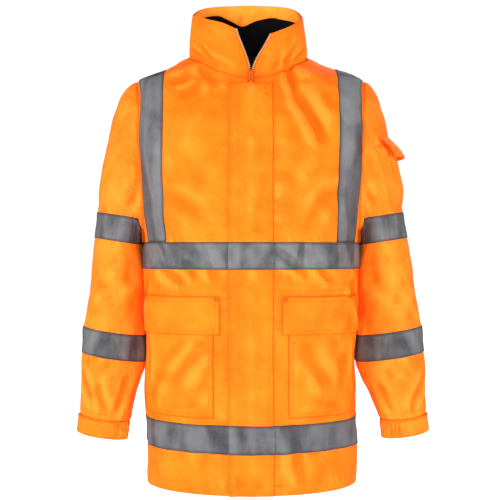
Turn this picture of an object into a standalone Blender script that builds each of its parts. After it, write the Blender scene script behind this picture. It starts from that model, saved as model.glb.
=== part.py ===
"""Hi-vis work jacket, worn shape with no wearer. Metres, +Z up, front towards -Y, wearer's left towards +X.

The origin lies midway between the shoulder ends' heights and the neck points, on the mid-plane of the sides.
Every cloth piece is a thin wall laid out on the jacket's surface; what is sewn on top is made from the
points of the cloth under it, moved out along its normals.
"""

import math

import bmesh
import bpy
import numpy as np
from mathutils.geometry import delaunay_2d_cdt

GAP = 0.0003  # between pieces at a seam and between layers
WALL = 0.0025  # shell with its quilted lining
TAPE_WALL = 0.0010
PATCH_WALL = 0.0016
FLAP_WALL = 0.0022
COLLAR_WALL = 0.0028
FACING_WALL = 0.0012
CUFF_WALL = 0.0020
ZIP_SKINS = (0.0004, 0.0020)  # depths of the zip's outer and inner skins under the cloth's
ZIP_SLIT = 0.0002  # half the gap between the two open rows at the bottom of the V

HEM_Z = -0.782
HEM_TAPE = (-0.7080, -0.6565)
WAIST_TAPE = (-0.3800, -0.3310)
BRACE_WIDTH = 0.0510
ZIP_HALF = 0.0050
FLAP_HALF = 0.0400
FLAP_TOP_Z = -0.0425
POCKET = (0.0670, 0.2360, -0.6450, -0.4400)  # girth from the centre front, then height
POCKET_FLAP = (0.0560, 0.2430, -0.4960, -0.4280)
POCKET_PUFF = 0.0050
HEM_LEAN = 0.0012  # the hem hangs this far towards the wearer's left
NECK_LEAN = 0.0050  # the open collar and the neck sit this far towards the wearer's right
STEP = 0.0335  # spacing of the net of points on the body

# Body sections
SECTION = ("z", "half_width", "front_depth", "back_depth", "squareness")
SECTIONS = (
    (-0.790, 0.1995, 0.1390, 0.1450, 2.10),
    (-0.700, 0.2000, 0.1400, 0.1460, 2.10),
    (-0.550, 0.2003, 0.1410, 0.1470, 2.10),
    (-0.450, 0.2020, 0.1410, 0.1480, 2.15),
    (-0.355, 0.2068, 0.1410, 0.1490, 2.25),
    (-0.280, 0.2128, 0.1410, 0.1510, 2.50),
    (-0.200, 0.2190, 0.1390, 0.1530, 3.00),
    (-0.130, 0.2235, 0.1335, 0.1500, 3.30),
    (-0.085, 0.2230, 0.1220, 0.1440, 3.00),
    (-0.050, 0.2205, 0.1085, 0.1360, 2.60),
    (-0.029, 0.2160, 0.0950, 0.1272, 2.30),
    (-0.018, 0.1990, 0.0862, 0.1218, 2.15),
    (-0.002, 0.1634, 0.0712, 0.1128, 2.05),
    (0.012, 0.1330, 0.0590, 0.1040, 2.00),
    (0.023, 0.1090, 0.0490, 0.0962, 2.00),
    (0.036, 0.0920, 0.0380, 0.0859, 2.00),
    (0.045, 0.0700, 0.0300, 0.0780, 2.00),
)

# Height of the neck seam by the angle round the neck, from centre front to centre back
NECK = ("angle", "z")
NECKLINE = (
    (-90, -0.0290), (-78, -0.0275), (-58, -0.0196), (-36, -0.0020), (0, 0.0230),
    (45, 0.0360), (72, 0.0435), (90, 0.0450),
)

# Armhole, as the angle it reaches from the side at each turn
ARM_TOP_Z, ARM_BOTTOM_Z = -0.0250, -0.3080
ARM_FRONT_DEG, ARM_BACK_DEG = 22.3, 20.0
ARM_UPPER_POWER, ARM_LOWER_POWER = 1.17, 0.58
ARM_POINTS = 24
NECK_POINTS = 16  # on each half of the neck seam

# Inner edge of the tape over the shoulder, as distance from the centre
BRACE = ("z", "x")
BRACE_EDGE = (
    (-0.332, 0.1545), (-0.250, 0.1570), (-0.160, 0.1585), (-0.100, 0.1590), (-0.050, 0.1600), (0.0, 0.1610),
)
BRACE_SPAN = 0.0480  # the same width seen from the front

# Folds of the body's front, seen from the front: a trough has a negative depth
FOLD = ("x0", "z0", "x1", "z1", "width", "depth")
BODY_FOLDS = (
    (0.090, -0.069, 0.127, -0.142, 0.016, -0.0050),
    (0.031, -0.216, 0.008, -0.306, 0.017, -0.0040),
    (-0.071, -0.508, -0.135, -0.587, 0.017, -0.0045),
    (0.082, -0.499, 0.128, -0.596, 0.017, -0.0045),
    (-0.150, -0.024, -0.085, -0.005, 0.014, 0.0030),
)

# Sleeves: ring heights are taken where the ring's plane is ARM_OUT from the centre
ARM_TILT = math.radians(8.7)
ARM_OUT = 0.26
ARM_SQUARENESS = 2.2
RING = ("z", "centre_x", "half_width", "centre_y", "half_depth")
SLEEVE_RINGS = {
    "right": (
        (-0.345, 0.2560, 0.0467, 0.018, 0.0830),
        (-0.400, 0.2571, 0.0530, 0.024, 0.0800),
        (-0.450, 0.2610, 0.0546, 0.026, 0.0770),
        (-0.505, 0.2613, 0.0600, 0.024, 0.0730),
        (-0.5555, 0.2629, 0.0616, 0.018, 0.0680),
        (-0.585, 0.2674, 0.0573, 0.012, 0.0650),
        (-0.610, 0.2710, 0.0539, 0.006, 0.0610),
        (-0.635, 0.2737, 0.0504, -0.002, 0.0570),
        (-0.662, 0.2767, 0.0467, -0.010, 0.0510),
    ),
    "left": (
        (-0.345, 0.2566, 0.0472, 0.018, 0.0830),
        (-0.400, 0.2593, 0.0551, 0.024, 0.0800),
        (-0.450, 0.2642, 0.0577, 0.026, 0.0770),
        (-0.505, 0.2644, 0.0631, 0.024, 0.0730),
        (-0.5555, 0.2667, 0.0654, 0.018, 0.0680),
        (-0.585, 0.2722, 0.0614, 0.012, 0.0650),
        (-0.610, 0.2781, 0.0552, 0.006, 0.0610),
        (-0.635, 0.2828, 0.0494, -0.002, 0.0570),
        (-0.662, 0.2884, 0.0427, -0.010, 0.0510),
    ),
}
CUFF_RINGS = {
    "right": ((-0.6630, 0.2777, 0.0469, -0.010, 0.0480), (-0.6980, 0.2802, 0.0472, -0.014, 0.0420)),
    "left": ((-0.6630, 0.2886, 0.0432, -0.010, 0.0480), (-0.6975, 0.2903, 0.0437, -0.014, 0.0420)),
}
CAP_REACH = {"right": 0.155, "left": 0.105}  # how far the top of the sleeve rounds out before it falls
CAP_REACH_LOW = 0.028  # and its underarm
CAP_FALL = (0.060, 0.245)  # pull of the arm's line on the cap, at the underarm and added at the top
CAP_FLARE = 0.020
UPPER_BAND = (-0.2780, -0.3270)
FOREARM_BAND = (-0.4990, -0.5490)
SLEEVE_POCKET_Z = (-0.1500, -0.2640)
SLEEVE_POCKET_COLUMNS = (-2, 5)  # columns behind and ahead of the outer side
SLEEVE_POCKET_PUFF = 0.0045
SLEEVE_LEVELS = (
    -0.040, -0.060, -0.088, -0.118, -0.150, -0.188, -0.226, -0.264, -0.278, -0.3022, -0.327,
    -0.362, -0.408, -0.454, -0.4990, -0.524, -0.5490, -0.579, -0.609, -0.635, -0.662,
)
WING = ("z", "stand")  # how far the open flap of the sleeve pocket stands off the sleeve
OPEN_FLAP = ((-0.1345, 3 * GAP), (-0.1440, 0.0060), (-0.1550, 0.0120), (-0.1660, 0.0165), (-0.1770, 0.0190))
SQUEEZE = 0.0018  # least spacing of rings where they meet the armhole
FOLD_ARC = 0.00115  # metres round the sleeve for each degree, in the table below

# Folds of the sleeves, by angle from the outer side towards the front and by height
SLEEVE_FOLD = ("angle0", "z0", "angle1", "z1", "width", "depth")
SLEEVE_FOLDS = {
    "right": (
        (-68, -0.598, -92, -0.655, 0.013, -0.0040),
        (-30, -0.588, -52, -0.635, 0.013, -0.0035),
        (-128, -0.590, -112, -0.660, 0.012, -0.0040),
        (-100, -0.110, -100, -0.250, 0.018, 0.0035),
    ),
    "left": (
        (-20, -0.598, -62, -0.655, 0.013, -0.0040),
        (-10, -0.612, -28, -0.645, 0.012, -0.0030),
        (-125, -0.600, -118, -0.655, 0.012, -0.0030),
    ),
}

# Collar: top edge from the front corner to the centre back, by the share of the way round
TOP = ("share", "x", "y", "z")
COLLAR_TOP = {
    "right": (
        (0.00, 0.0300, -0.1000, 0.0570), (0.10, 0.0500, -0.0935, 0.0675), (0.25, 0.0830, -0.0680, 0.0815),
        (0.45, 0.1110, -0.0150, 0.1015), (0.62, 0.1090, 0.0200, 0.1140), (0.76, 0.0930, 0.0450, 0.1280),
        (0.88, 0.0610, 0.0640, 0.1365), (1.00, 0.0050, 0.0710, 0.1405),
    ),
    "left": (
        (0.00, 0.0385, -0.0985, 0.0475), (0.10, 0.0550, -0.0895, 0.0560), (0.25, 0.0780, -0.0660, 0.0700),
        (0.45, 0.0985, -0.0150, 0.0960), (0.62, 0.0965, 0.0200, 0.1110), (0.76, 0.0810, 0.0450, 0.1270),
        (0.88, 0.0505, 0.0640, 0.1365), (1.00, -0.0050, 0.0710, 0.1405),
    ),
}
COLLAR_ROWS = (0.0, 0.14, 0.38, 0.64, 0.82, 1.0)
FACING_FROM = 3  # row of the collar where the bright facing starts

# Cuff gathers
GATHER_DEG = {"right": (-162, -126), "left": (-164, -110)}
GATHER_WAVES = {"right": 4, "left": 5}
GATHER_DEPTH = 0.0016
TAB_DEG = {"right": (-120, 62), "left": (-104, 62)}
TAB_WALL = 0.0030
TAB_PUFF = 0.0012
CUFF_ROWS = (0.0, 0.05, 0.5, 0.95, 1.0)

# Slider and pull
SLIDER_LEAN = math.radians(18)
SLIDER_AT = (0.0, -0.1007, -0.0275)
SLIDER_SIZE = (0.0140, 0.0026, 0.0225)
SLIDER_OUTLINE = (  # of its width and its height, with the notch between the two necks at the top
    (-0.30, -0.50), (0.30, -0.50), (0.42, -0.40), (0.50, 0.10), (0.50, 0.38), (0.40, 0.50),
    (0.12, 0.50), (0.0, 0.36), (-0.12, 0.50), (-0.40, 0.50), (-0.50, 0.38), (-0.50, 0.10), (-0.42, -0.40),
)
BRIDGE_PATH = (
    (0, -0.0004, 0.0080), (0, -0.0030, 0.0078), (0, -0.0049, 0.0062), (0, -0.0054, 0.0038),
    (0, -0.0049, 0.0014), (0, -0.0030, -0.0002), (0, -0.0004, -0.0004),
)
BRIDGE_RADIUS, BAR_SIDES = 0.0011, 6
PULL_WIDTH, PULL_LENGTH, PULL_BAR = 0.0064, 0.0200, 0.0015
PULL_TOP, PULL_OUT = 0.0037, -0.00265  # the loop's upper end, and how far it hangs off the plate's middle

COLOURS = {
    "orange": ((1.0, 0.30, 0.03, 1.0), 0.75),
    "tape": ((0.35, 0.36, 0.38, 1.0), 0.45),
    "black": ((0.01, 0.01, 0.012, 1.0), 0.9),
    "zip": ((0.85, 0.72, 0.45, 1.0), 0.4),
    "metal": ((0.55, 0.56, 0.58, 1.0), 0.3),
}


def monotone(rows, names, name, at):
    """One column of a table as a smooth curve of its first column, with no overshoot."""
    xs = np.array([row[0] for row in rows], float)
    ys = np.array([row[names.index(name)] for row in rows], float)
    rising = np.argsort(xs)
    xs, ys = xs[rising], ys[rising]
    h = np.diff(xs)
    d = np.diff(ys) / h
    m = np.zeros(len(xs))
    both = d[:-1] * d[1:] > 0
    total = np.where(both, d[:-1] + d[1:], 1.0)
    m[1:-1] = np.where(both, 2 * d[:-1] * d[1:] / total, 0.0)
    m[0], m[-1] = d[0], d[-1]
    at = np.clip(at, xs[0], xs[-1])
    k = np.clip(np.searchsorted(xs, at) - 1, 0, len(h) - 1)
    t = (at - xs[k]) / h[k]
    return (
        (1 + 2 * t) * (1 - t) ** 2 * ys[k]
        + t * (1 - t) ** 2 * h[k] * m[k]
        + t * t * (3 - 2 * t) * ys[k + 1]
        + t * t * (t - 1) * h[k] * m[k + 1]
    )


def unit(v):
    return v / np.maximum(np.linalg.norm(v, axis=-1, keepdims=True), 1e-12)


# The body's surface: girth from the centre front round to the centre back, at each height
ANGLES = np.radians(np.linspace(-90, 90, 241))


def girth(z):
    """Points of the half section at each height and the length along it: arrays of (heights, angles)."""
    z = np.atleast_1d(np.asarray(z, float))
    a, front, back, n = (monotone(SECTIONS, SECTION, c, z)[:, None] for c in SECTION[1:])
    depth = np.where(ANGLES < 0, front, back)
    r = ((np.cos(ANGLES) / a) ** n + (np.abs(np.sin(ANGLES)) / depth) ** n) ** (-1 / n)
    x, y = r * np.cos(ANGLES), r * np.sin(ANGLES)
    x[:, 0] = x[:, -1] = 0.0
    s = np.concatenate([np.zeros((len(z), 1)), np.cumsum(np.hypot(np.diff(x), np.diff(y)), axis=1)], axis=1)
    return x, y, s


def girth_at(z, key, front=True):
    """Length along the half section at each height to the angle or the distance from the centre given."""
    x, y, s = girth(z)
    key = np.broadcast_to(key, len(x))
    out = np.empty(len(x))
    half = len(ANGLES) // 2
    for i in range(len(x)):
        if front is None:
            out[i] = np.interp(key[i], ANGLES, s[i])
        elif front:
            out[i] = np.interp(key[i], x[i, : half + 1], s[i, : half + 1])
        else:
            out[i] = np.interp(-key[i], -x[i, half:], s[i, half:])
    return out


def body_point(s, z):
    x, y, table = girth(z)
    out = np.empty((len(s), 3))
    for i, length in enumerate(s):
        out[i] = np.interp(length, table[i], x[i]), np.interp(length, table[i], y[i]), z[i]
    return out


def body_normal(s, z):
    """Outward normals of the plain surface, by small steps round and up it."""
    e = 0.0015
    sign = np.where(s < e, -1.0, 1.0)
    before = body_point(np.abs(s - e), z)
    before[:, 0] *= sign
    low, high = np.maximum(z - e, SECTIONS[0][0]), np.minimum(z + e, SECTIONS[-1][0])
    after = body_point(s + e, z)
    past = s + e > girth_at(z, math.pi / 2, None)
    after[past] = body_point(s[past] - e, z[past]) * (-1, 1, 1)
    around = after - before
    x, y, table = girth(z)
    turn = np.array([np.interp(length, table[i], ANGLES) for i, length in enumerate(s)])
    upper = body_point(girth_at(high, turn, None), high)
    lower = body_point(girth_at(low, turn, None), low)
    return unit(np.cross(around, upper - lower))


RISE_Z = np.linspace(SECTIONS[0][0], SECTIONS[-1][0], 600)
RISE = np.maximum.reduce(
    [np.abs(np.gradient(monotone(SECTIONS, SECTION, c, RISE_Z), RISE_Z)) for c in SECTION[1:3]]
)
RISE_V = np.concatenate([[0], np.cumsum(np.diff(RISE_Z) * np.sqrt(1 + ((RISE[1:] + RISE[:-1]) / 2) ** 2))])


def up_cloth(z):
    """Height measured up the cloth, which runs faster than z over the shoulders."""
    return np.interp(z, RISE_Z, RISE_V)


def height_of(v):
    return np.interp(v, RISE_V, RISE_Z)


def along(points, step):
    """A line in the net's plane with points no further apart than the step."""
    points = np.asarray(points, float)
    out = [points[:1]]
    for a, b in zip(points[:-1], points[1:]):
        n = max(1, math.ceil(np.hypot(*(b - a)) / step - 1e-6))
        out.append(a + (b - a) * np.linspace(1 / n, 1, n)[:, None])
    return np.concatenate(out)


def thinned(points, step):
    """A densely drawn line, resampled evenly at about the step."""
    points = np.asarray(points, float)
    run = np.concatenate([[0], np.cumsum(np.linalg.norm(np.diff(points, axis=0), axis=1))])
    n = max(1, round(run[-1] / step))
    to = np.linspace(0, run[-1], n + 1)
    return np.stack([np.interp(to, run, points[:, k]) for k in range(points.shape[1])], axis=1)


def inside(points, ring):
    """Which points lie inside a closed ring."""
    found = np.zeros(len(points), bool)
    for (x0, y0), (x1, y1) in zip(ring, np.roll(ring, -1, axis=0)):
        crosses = (y0 > points[:, 1]) != (y1 > points[:, 1])
        if crosses.any():
            at = x0 + (points[crosses, 1] - y0) * (x1 - x0) / (y1 - y0)
            flips = np.zeros(len(points), bool)
            flips[crosses] = points[crosses, 0] < at
            found ^= flips
    return found


def upright(z, s):
    return np.stack([s, up_cloth(z)], axis=1)


FULL_HALF = 0.535  # the half girth that the net is spread to at every height
HALF_V = up_cloth(RISE_Z)
HALF_GIRTH = girth(RISE_Z)[2][:, -1]


def half_girth(v):
    return np.interp(v, HALF_V, HALF_GIRTH)


def spread(line):
    """Points of (girth, v) with the girth stretched in proportion to the whole at their height."""
    return np.stack([line[:, 0] * FULL_HALF / half_girth(line[:, 1]), line[:, 1]], axis=1)


def neck_height(angle):
    return monotone(NECKLINE, NECK, "z", np.degrees(angle))


def armhole_reach(z):
    """The armhole's angle from the side line at each height, front and back."""
    middle, half = (ARM_TOP_Z + ARM_BOTTOM_Z) / 2, (ARM_TOP_Z - ARM_BOTTOM_Z) / 2
    c = np.clip((z - middle) / half, -1, 1)
    share = np.sqrt(1 - c * c) ** np.where(c > 0, ARM_UPPER_POWER, ARM_LOWER_POWER)
    return np.radians(ARM_FRONT_DEG) * share, np.radians(ARM_BACK_DEG) * share


# Lines of the net, on the half with x above zero
def neck_line():
    """Neck seam from the zip round to the centre back, as (girth, height), with its seam points."""
    angles = np.radians(np.linspace(-90, 90, 721))
    z = neck_height(angles)
    pts = np.stack([girth_at(z, angles, None), z], axis=1)
    solid = body_point(pts[:, 0], pts[:, 1])
    run = np.concatenate([[0], np.cumsum(np.linalg.norm(np.diff(solid, axis=0), axis=1))])
    first = np.argmax(solid[:, 0] >= ZIP_HALF + GAP)
    start = np.interp(ZIP_HALF + GAP, solid[first - 1 : first + 1, 0], run[first - 1 : first + 1])
    point = np.interp(0, angles, run)
    n_front = round((NECK_POINTS - 1) * (point - start) / (run[-1] - start))
    at = np.concatenate(
        [np.linspace(start, point, n_front + 1), np.linspace(point, run[-1], NECK_POINTS - n_front)[1:]]
    )
    return np.stack([np.interp(at, run, pts[:, 0]), np.interp(at, run, pts[:, 1])], axis=1), n_front


def arm_line():
    """Armhole from the shoulder down the front, then from the underarm up the back, as (girth, height)."""
    halves = []
    for back in (False, True):
        turn = np.linspace(0, math.pi, 361)
        z = (ARM_TOP_Z + ARM_BOTTOM_Z) / 2 + (ARM_TOP_Z - ARM_BOTTOM_Z) / 2 * np.cos(turn)
        reach = armhole_reach(z)[int(back)]
        pts = np.stack([girth_at(z, reach if back else -reach, None), z], axis=1)
        solid = body_point(pts[:, 0], pts[:, 1])
        run = np.concatenate([[0], np.cumsum(np.linalg.norm(np.diff(solid, axis=0), axis=1))])
        at = np.linspace(0, run[-1], ARM_POINTS // 2 + 1)
        halves.append(np.stack([np.interp(at, run, pts[:, 0]), np.interp(at, run, pts[:, 1])], axis=1))
    front, back = halves
    return np.concatenate([front, back[::-1][1:-1]])


def over_shoulder(edge_offset):
    """A brace's edge from the front waist over the shoulder to the back waist, as (girth, v)."""
    halves = []
    for front in (True, False):
        z = np.concatenate([np.linspace(WAIST_TAPE[1] + GAP, -0.07, 40), np.linspace(-0.07, 0.022, 400)[1:]])
        x_in = monotone(BRACE_EDGE, BRACE, "x", z)
        wide = monotone(SECTIONS, SECTION, "half_width", z)
        at = np.minimum(x_in, wide)
        s = girth_at(z, at, front)
        side = girth_at(z, 0.0, None)
        if edge_offset:
            slope = np.interp(z, (-0.05, -0.01), (1.0, 0.0))
            x_out = monotone(BRACE_EDGE, BRACE, "x", z) + BRACE_SPAN
            near = girth_at(z, np.minimum(x_out, wide), front)
            far = s + (edge_offset if front else -edge_offset)
            s = far * slope + near * (1 - slope)
            wide_enough = x_out < wide
        else:
            wide_enough = x_in < wide
        s = np.where(wide_enough, s, side)
        stop = np.argmax(~wide_enough) if (~wide_enough).any() else len(z)
        halves.append(np.stack([s[: stop + 1], up_cloth(z[: stop + 1])], axis=1))
        halves[-1][-1, 0] = side[min(stop, len(z) - 1)]
    front, back = halves
    return thinned(np.concatenate([front, back[::-1]]), STEP)


def body_net():
    """The half body's net in the plane of (girth, v): points, triangles, and the outlines of its pieces."""
    neck, n_front = neck_line()
    arm = arm_line()

    def line_x(x, z0, z1, front=True):
        z = height_of(thinned(np.stack([up_cloth(np.linspace(z0, z1, 60))], axis=1), STEP)[:, 0])
        return upright(z, girth_at(z, x, front))

    def line_angle(shift, z0, z1):
        z = height_of(thinned(np.stack([up_cloth(np.linspace(z0, z1, 60))], axis=1), STEP)[:, 0])
        return upright(z, girth_at(z, 0.0, None) + shift)

    def level(z, s0, s1):
        s = np.linspace(s0, s1, max(1, math.ceil((s1 - s0) / STEP)) + 1)
        return np.stack([s, np.full(len(s), up_cloth(z))], axis=1)

    def whole(z):
        return girth_at(np.array([z]), np.radians(90), None)[0]

    def at_x(x, z):
        return girth_at(np.array([z]), x)[0]

    neck_v = np.stack([neck[:, 0], up_cloth(neck[:, 1])], axis=1)
    arm_v = np.stack([arm[:, 0], up_cloth(arm[:, 1])], axis=1)
    front_top = np.array([[0.0, up_cloth(NECKLINE[0][1])]])
    centre_back = line_angle(0.0, HEM_Z, NECKLINE[-1][1])
    centre_back[:, 0] = girth_at(height_of(centre_back[:, 1]), np.radians(90), None)
    centre_front = line_x(0.0, HEM_Z, NECKLINE[0][1])
    hem = level(HEM_Z, 0.0, whole(HEM_Z))
    domain = np.concatenate([hem, centre_back[1:], neck_v[::-1][1:], front_top, centre_front[::-1][1:-1]])
    zip_z = neck[0, 1]
    seam_front, seam_back = (line_angle(k * GAP / 2, HEM_Z, NECKLINE[4][1] + 1e-5) for k in (-1, 1))
    zip_edge, panel_edge = line_x(ZIP_HALF, HEM_Z, zip_z), line_x(ZIP_HALF + GAP, HEM_Z, zip_z)
    panel_edge[-1] = neck_v[0]
    flap_edge = line_x(FLAP_HALF, HEM_Z, FLAP_TOP_Z)
    flap_top = level(FLAP_TOP_Z, 0.0, at_x(FLAP_HALF, FLAP_TOP_Z))
    rings = {
        "flap": np.concatenate([flap_edge, flap_top[::-1], np.array([[0.0, up_cloth(HEM_Z)]])]),
    }
    lines = [zip_edge, panel_edge, seam_front, seam_back, flap_edge, flap_top, centre_front, centre_back]
    for name, (low, high) in (("waist", WAIST_TAPE), ("hem", HEM_TAPE)):
        near = line_x(FLAP_HALF + GAP, low, high)
        bottom, top = level(low, near[0, 0], whole(low)), level(high, near[-1, 0], whole(high))
        far = centre_back[(centre_back[:, 1] > up_cloth(low)) & (centre_back[:, 1] < up_cloth(high))]
        rings[name] = np.concatenate([near, top, far[::-1], bottom[::-1]])
        lines += [near, bottom, top]
        lines += [level(z, 0.0, at_x(FLAP_HALF, z)) for z in (low, high)]
        rings["flap_" + name] = np.array(
            [[0, up_cloth(low)], [at_x(FLAP_HALF, low), up_cloth(low)],
             [at_x(FLAP_HALF, high), up_cloth(high)], [0, up_cloth(high)]]
        )
    inner, outer = over_shoulder(0.0), over_shoulder(BRACE_WIDTH)
    foot_front = along([inner[0], outer[0]], STEP)
    foot_back = along([outer[-1], inner[-1]], STEP)
    rings["brace"] = np.concatenate([inner, foot_back[::-1], outer[::-1], foot_front[::-1]])
    lines += [inner, outer, foot_front, foot_back]
    for name, (s0, s1, low, high) in (("pocket", POCKET), ("pocket_flap", POCKET_FLAP)):
        corners = [(s0, up_cloth(low)), (s1, up_cloth(low)), (s1, up_cloth(high)), (s0, up_cloth(high))]
        rings[name] = along(corners + corners[:1], STEP)[:-1]
        lines.append(along(corners + corners[:1], STEP))
    rings["domain"], rings["arm"] = domain, arm_v
    rings["zip"] = np.concatenate([centre_front, front_top, [neck_v[0]], zip_edge[::-1]])
    rings["front"] = np.concatenate([panel_edge, neck_v[1 : n_front + 1], seam_front[::-1]])
    rings["back"] = np.concatenate([seam_back, neck_v[n_front:], centre_back[::-1]])
    # The net is spread by shares of the girth, so its triangles stay even where the body narrows to the neck
    rings = {name: spread(ring) for name, ring in rings.items()}
    lines = [spread(line) for line in lines]
    closed = [rings["domain"], rings["arm"]]

    pts, edges = [], []
    for k, line in enumerate(lines + closed):
        start = sum(len(p) for p in pts)
        pts.append(line)
        edges += [(start + i, start + i + 1) for i in range(len(line) - 1)]
        if k >= len(lines):
            edges.append((start + len(line) - 1, start))
    pts = np.concatenate(pts)
    ends = pts[np.array(edges)]
    rows = []
    top = up_cloth(SECTIONS[-1][0])
    for i in range(int(top / (STEP * 0.87)) + 2):
        row_v = (i + 0.5) * STEP * 0.87
        s = np.arange(0.5 * (i % 2) + 0.25, 40) * STEP
        rows.append(np.stack([s, np.full(len(s), row_v)], axis=1))
    loose = np.concatenate(rows)
    loose = loose[inside(loose, rings["domain"]) & ~inside(loose, rings["arm"])]
    a, b = ends[None, :, 0], ends[None, :, 1]
    ab = b - a
    t = np.clip(((loose[:, None] - a) * ab).sum(-1) / np.maximum((ab**2).sum(-1), 1e-18), 0, 1)
    far = np.linalg.norm(loose[:, None] - a - t[..., None] * ab, axis=-1).min(axis=1)
    pts = np.concatenate([pts, loose[far > 0.42 * STEP]])
    made = delaunay_2d_cdt([tuple(p) for p in pts], edges, [], 0, 1e-6)
    points = np.array([tuple(p) for p in made[0]])
    faces = np.array([f for f in made[2] if len(f) == 3])
    middle = points[faces].mean(axis=1)
    keep = inside(middle, rings["domain"]) & ~inside(middle, rings["arm"])
    faces = faces[keep]
    used = np.unique(faces)
    renumber = np.full(len(points), -1)
    renumber[used] = np.arange(len(used))
    points, faces = points[used], renumber[faces]
    middle = points[faces].mean(axis=1)
    marks = {name: inside(middle, ring) for name, ring in rings.items()}
    points[:, 0] *= half_girth(points[:, 1]) / FULL_HALF
    return points, faces, marks, neck, arm


def fold_depth(points, folds):
    """How far the folds push each point out, by its place seen from the front."""
    out = np.zeros(len(points))
    for x0, z0, x1, z1, width, depth in folds:
        a, ab = np.array([x0, z0]), np.array([x1 - x0, z1 - z0])
        p = points[:, [0, 2]] - a
        t = np.clip(p @ ab / (ab @ ab), 0, 1)
        away = np.linalg.norm(p - t[:, None] * ab, axis=1)
        out += depth * np.exp(-((away / width) ** 2)) * np.clip(-points[:, 1] / 0.03 - 0.2, 0, 1)
    return out


def shell(name, colour, outer, inner, faces):
    """A closed wall between two skins that share their triangles."""
    used = np.unique(faces)
    renumber = np.full(len(outer), -1)
    renumber[used] = np.arange(len(used))
    f = renumber[faces]
    n = len(used)
    verts = np.concatenate([outer[used], inner[used]])
    rim = {}
    for tri in f:
        for a, b in ((tri[0], tri[1]), (tri[1], tri[2]), (tri[2], tri[0])):
            if rim.pop((b, a), None) is None:
                rim[(a, b)] = True
    # Both pieces at a seam split their twisted rims the same way
    rims = []
    for a, b in rim:
        if (verts[a] - verts[b]) @ (0.31, 0.72, 1.0) > 0:
            rims += [(b, a, b + n), (a, a + n, b + n)]
        else:
            rims += [(b, a, a + n), (b, a + n, b + n)]
    if np.einsum("ij,ij->", verts[f[:, 0]], np.cross(verts[f[:, 1]], verts[f[:, 2]])) < np.einsum(
        "ij,ij->", verts[f[:, 0] + n], np.cross(verts[f[:, 1] + n], verts[f[:, 2] + n])
    ):
        f, rims = f[:, ::-1], [r[::-1] for r in rims]
    mesh = bpy.data.meshes.new(name)
    mesh.from_pydata(
        [tuple(v) for v in verts],
        [],
        [tuple(map(int, t)) for t in f]
        + [tuple(map(int, t[::-1] + n)) for t in f]
        + [tuple(map(int, r)) for r in rims],
    )
    return node(name, colour, mesh)


def node(name, colour, mesh):
    mesh.update()
    obj = bpy.data.objects.new(name, mesh)
    material = bpy.data.materials.new(name)
    material.use_nodes = True
    rgba, rough = COLOURS[colour]
    shader = material.node_tree.nodes["Principled BSDF"]
    shader.inputs["Base Color"].default_value = rgba
    shader.inputs["Roughness"].default_value = rough
    mesh.materials.append(material)
    bpy.context.scene.collection.objects.link(obj)
    return obj


def grid_faces(columns, rows, around):
    """Triangles of a grid numbered row by row, facing out when columns run anticlockwise seen from outside."""
    out = []
    for r in range(rows - 1):
        for c in range(columns if around else columns - 1):
            a, b = r * columns + c, r * columns + (c + 1) % columns
            d, e = a + columns, b + columns
            out += [(a, b, e), (a, e, d)]
    return np.array(out)


for old in list(bpy.data.objects):
    bpy.data.objects.remove(old)

# Body: one net for both halves, welded along the centre lines
net, half_faces, marks, neck, arm = body_net()
half_points = body_point(net[:, 0], height_of(net[:, 1]))
on_centre = half_points[:, 0] < 0.0006
half_points[on_centre, 0] = 0.0
count = len(half_points)
mirror = np.where(on_centre, np.arange(count), np.arange(count) + count)
base = np.concatenate([half_points, half_points * (-1, 1, 1)])
faces = np.concatenate([half_faces, mirror[half_faces][:, ::-1]])
left_half = np.arange(len(faces)) < len(half_faces)
marks = {name: np.concatenate([mark, mark]) for name, mark in marks.items()}
half_normals = body_normal(net[:, 0], height_of(net[:, 1]))
half_normals[on_centre, 0] = 0.0
half_normals = unit(half_normals)
normal = np.concatenate([half_normals, half_normals * (-1, 1, 1)])
skin = base + normal * fold_depth(base, BODY_FOLDS)[:, None]
low = np.clip((-0.56 - skin[:, 2]) / 0.15, 0, 1)
skin[:, 0] += HEM_LEAN * low**2 * (3 - 2 * low)
high = np.clip((skin[:, 2] + 0.06) / 0.07, 0, 1) * np.clip((0.19 - np.abs(skin[:, 0])) / 0.08, 0, 1)
skin[:, 0] -= NECK_LEAN * high**2 * (3 - 2 * high) * np.clip((skin[:, 1] + 0.092) / 0.05, 0, 1)

# Pocket bodies stand off most in their middle, and their flaps follow
girth_all, height_all = np.tile(net[:, 0], 2), np.tile(height_of(net[:, 1]), 2)
s0, s1, low, high = POCKET
across = np.clip((girth_all - s0) / (s1 - s0), 0, 1)
upward = np.clip((height_all - low) / (high - low), 0, 1)
puff = POCKET_PUFF * (np.sin(math.pi * across) * np.clip(np.sin(math.pi * upward) * 1.4, 0, 1)) ** 0.7


def body_piece(name, colour, mark, near, wall):
    """A piece on the body: its inner skin stands off the body's skin by near, its outer by near and wall."""
    near = np.broadcast_to(near, len(skin))[:, None]
    shell(name, colour, skin + normal * (near + wall), skin + normal * near, faces[mark])


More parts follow.
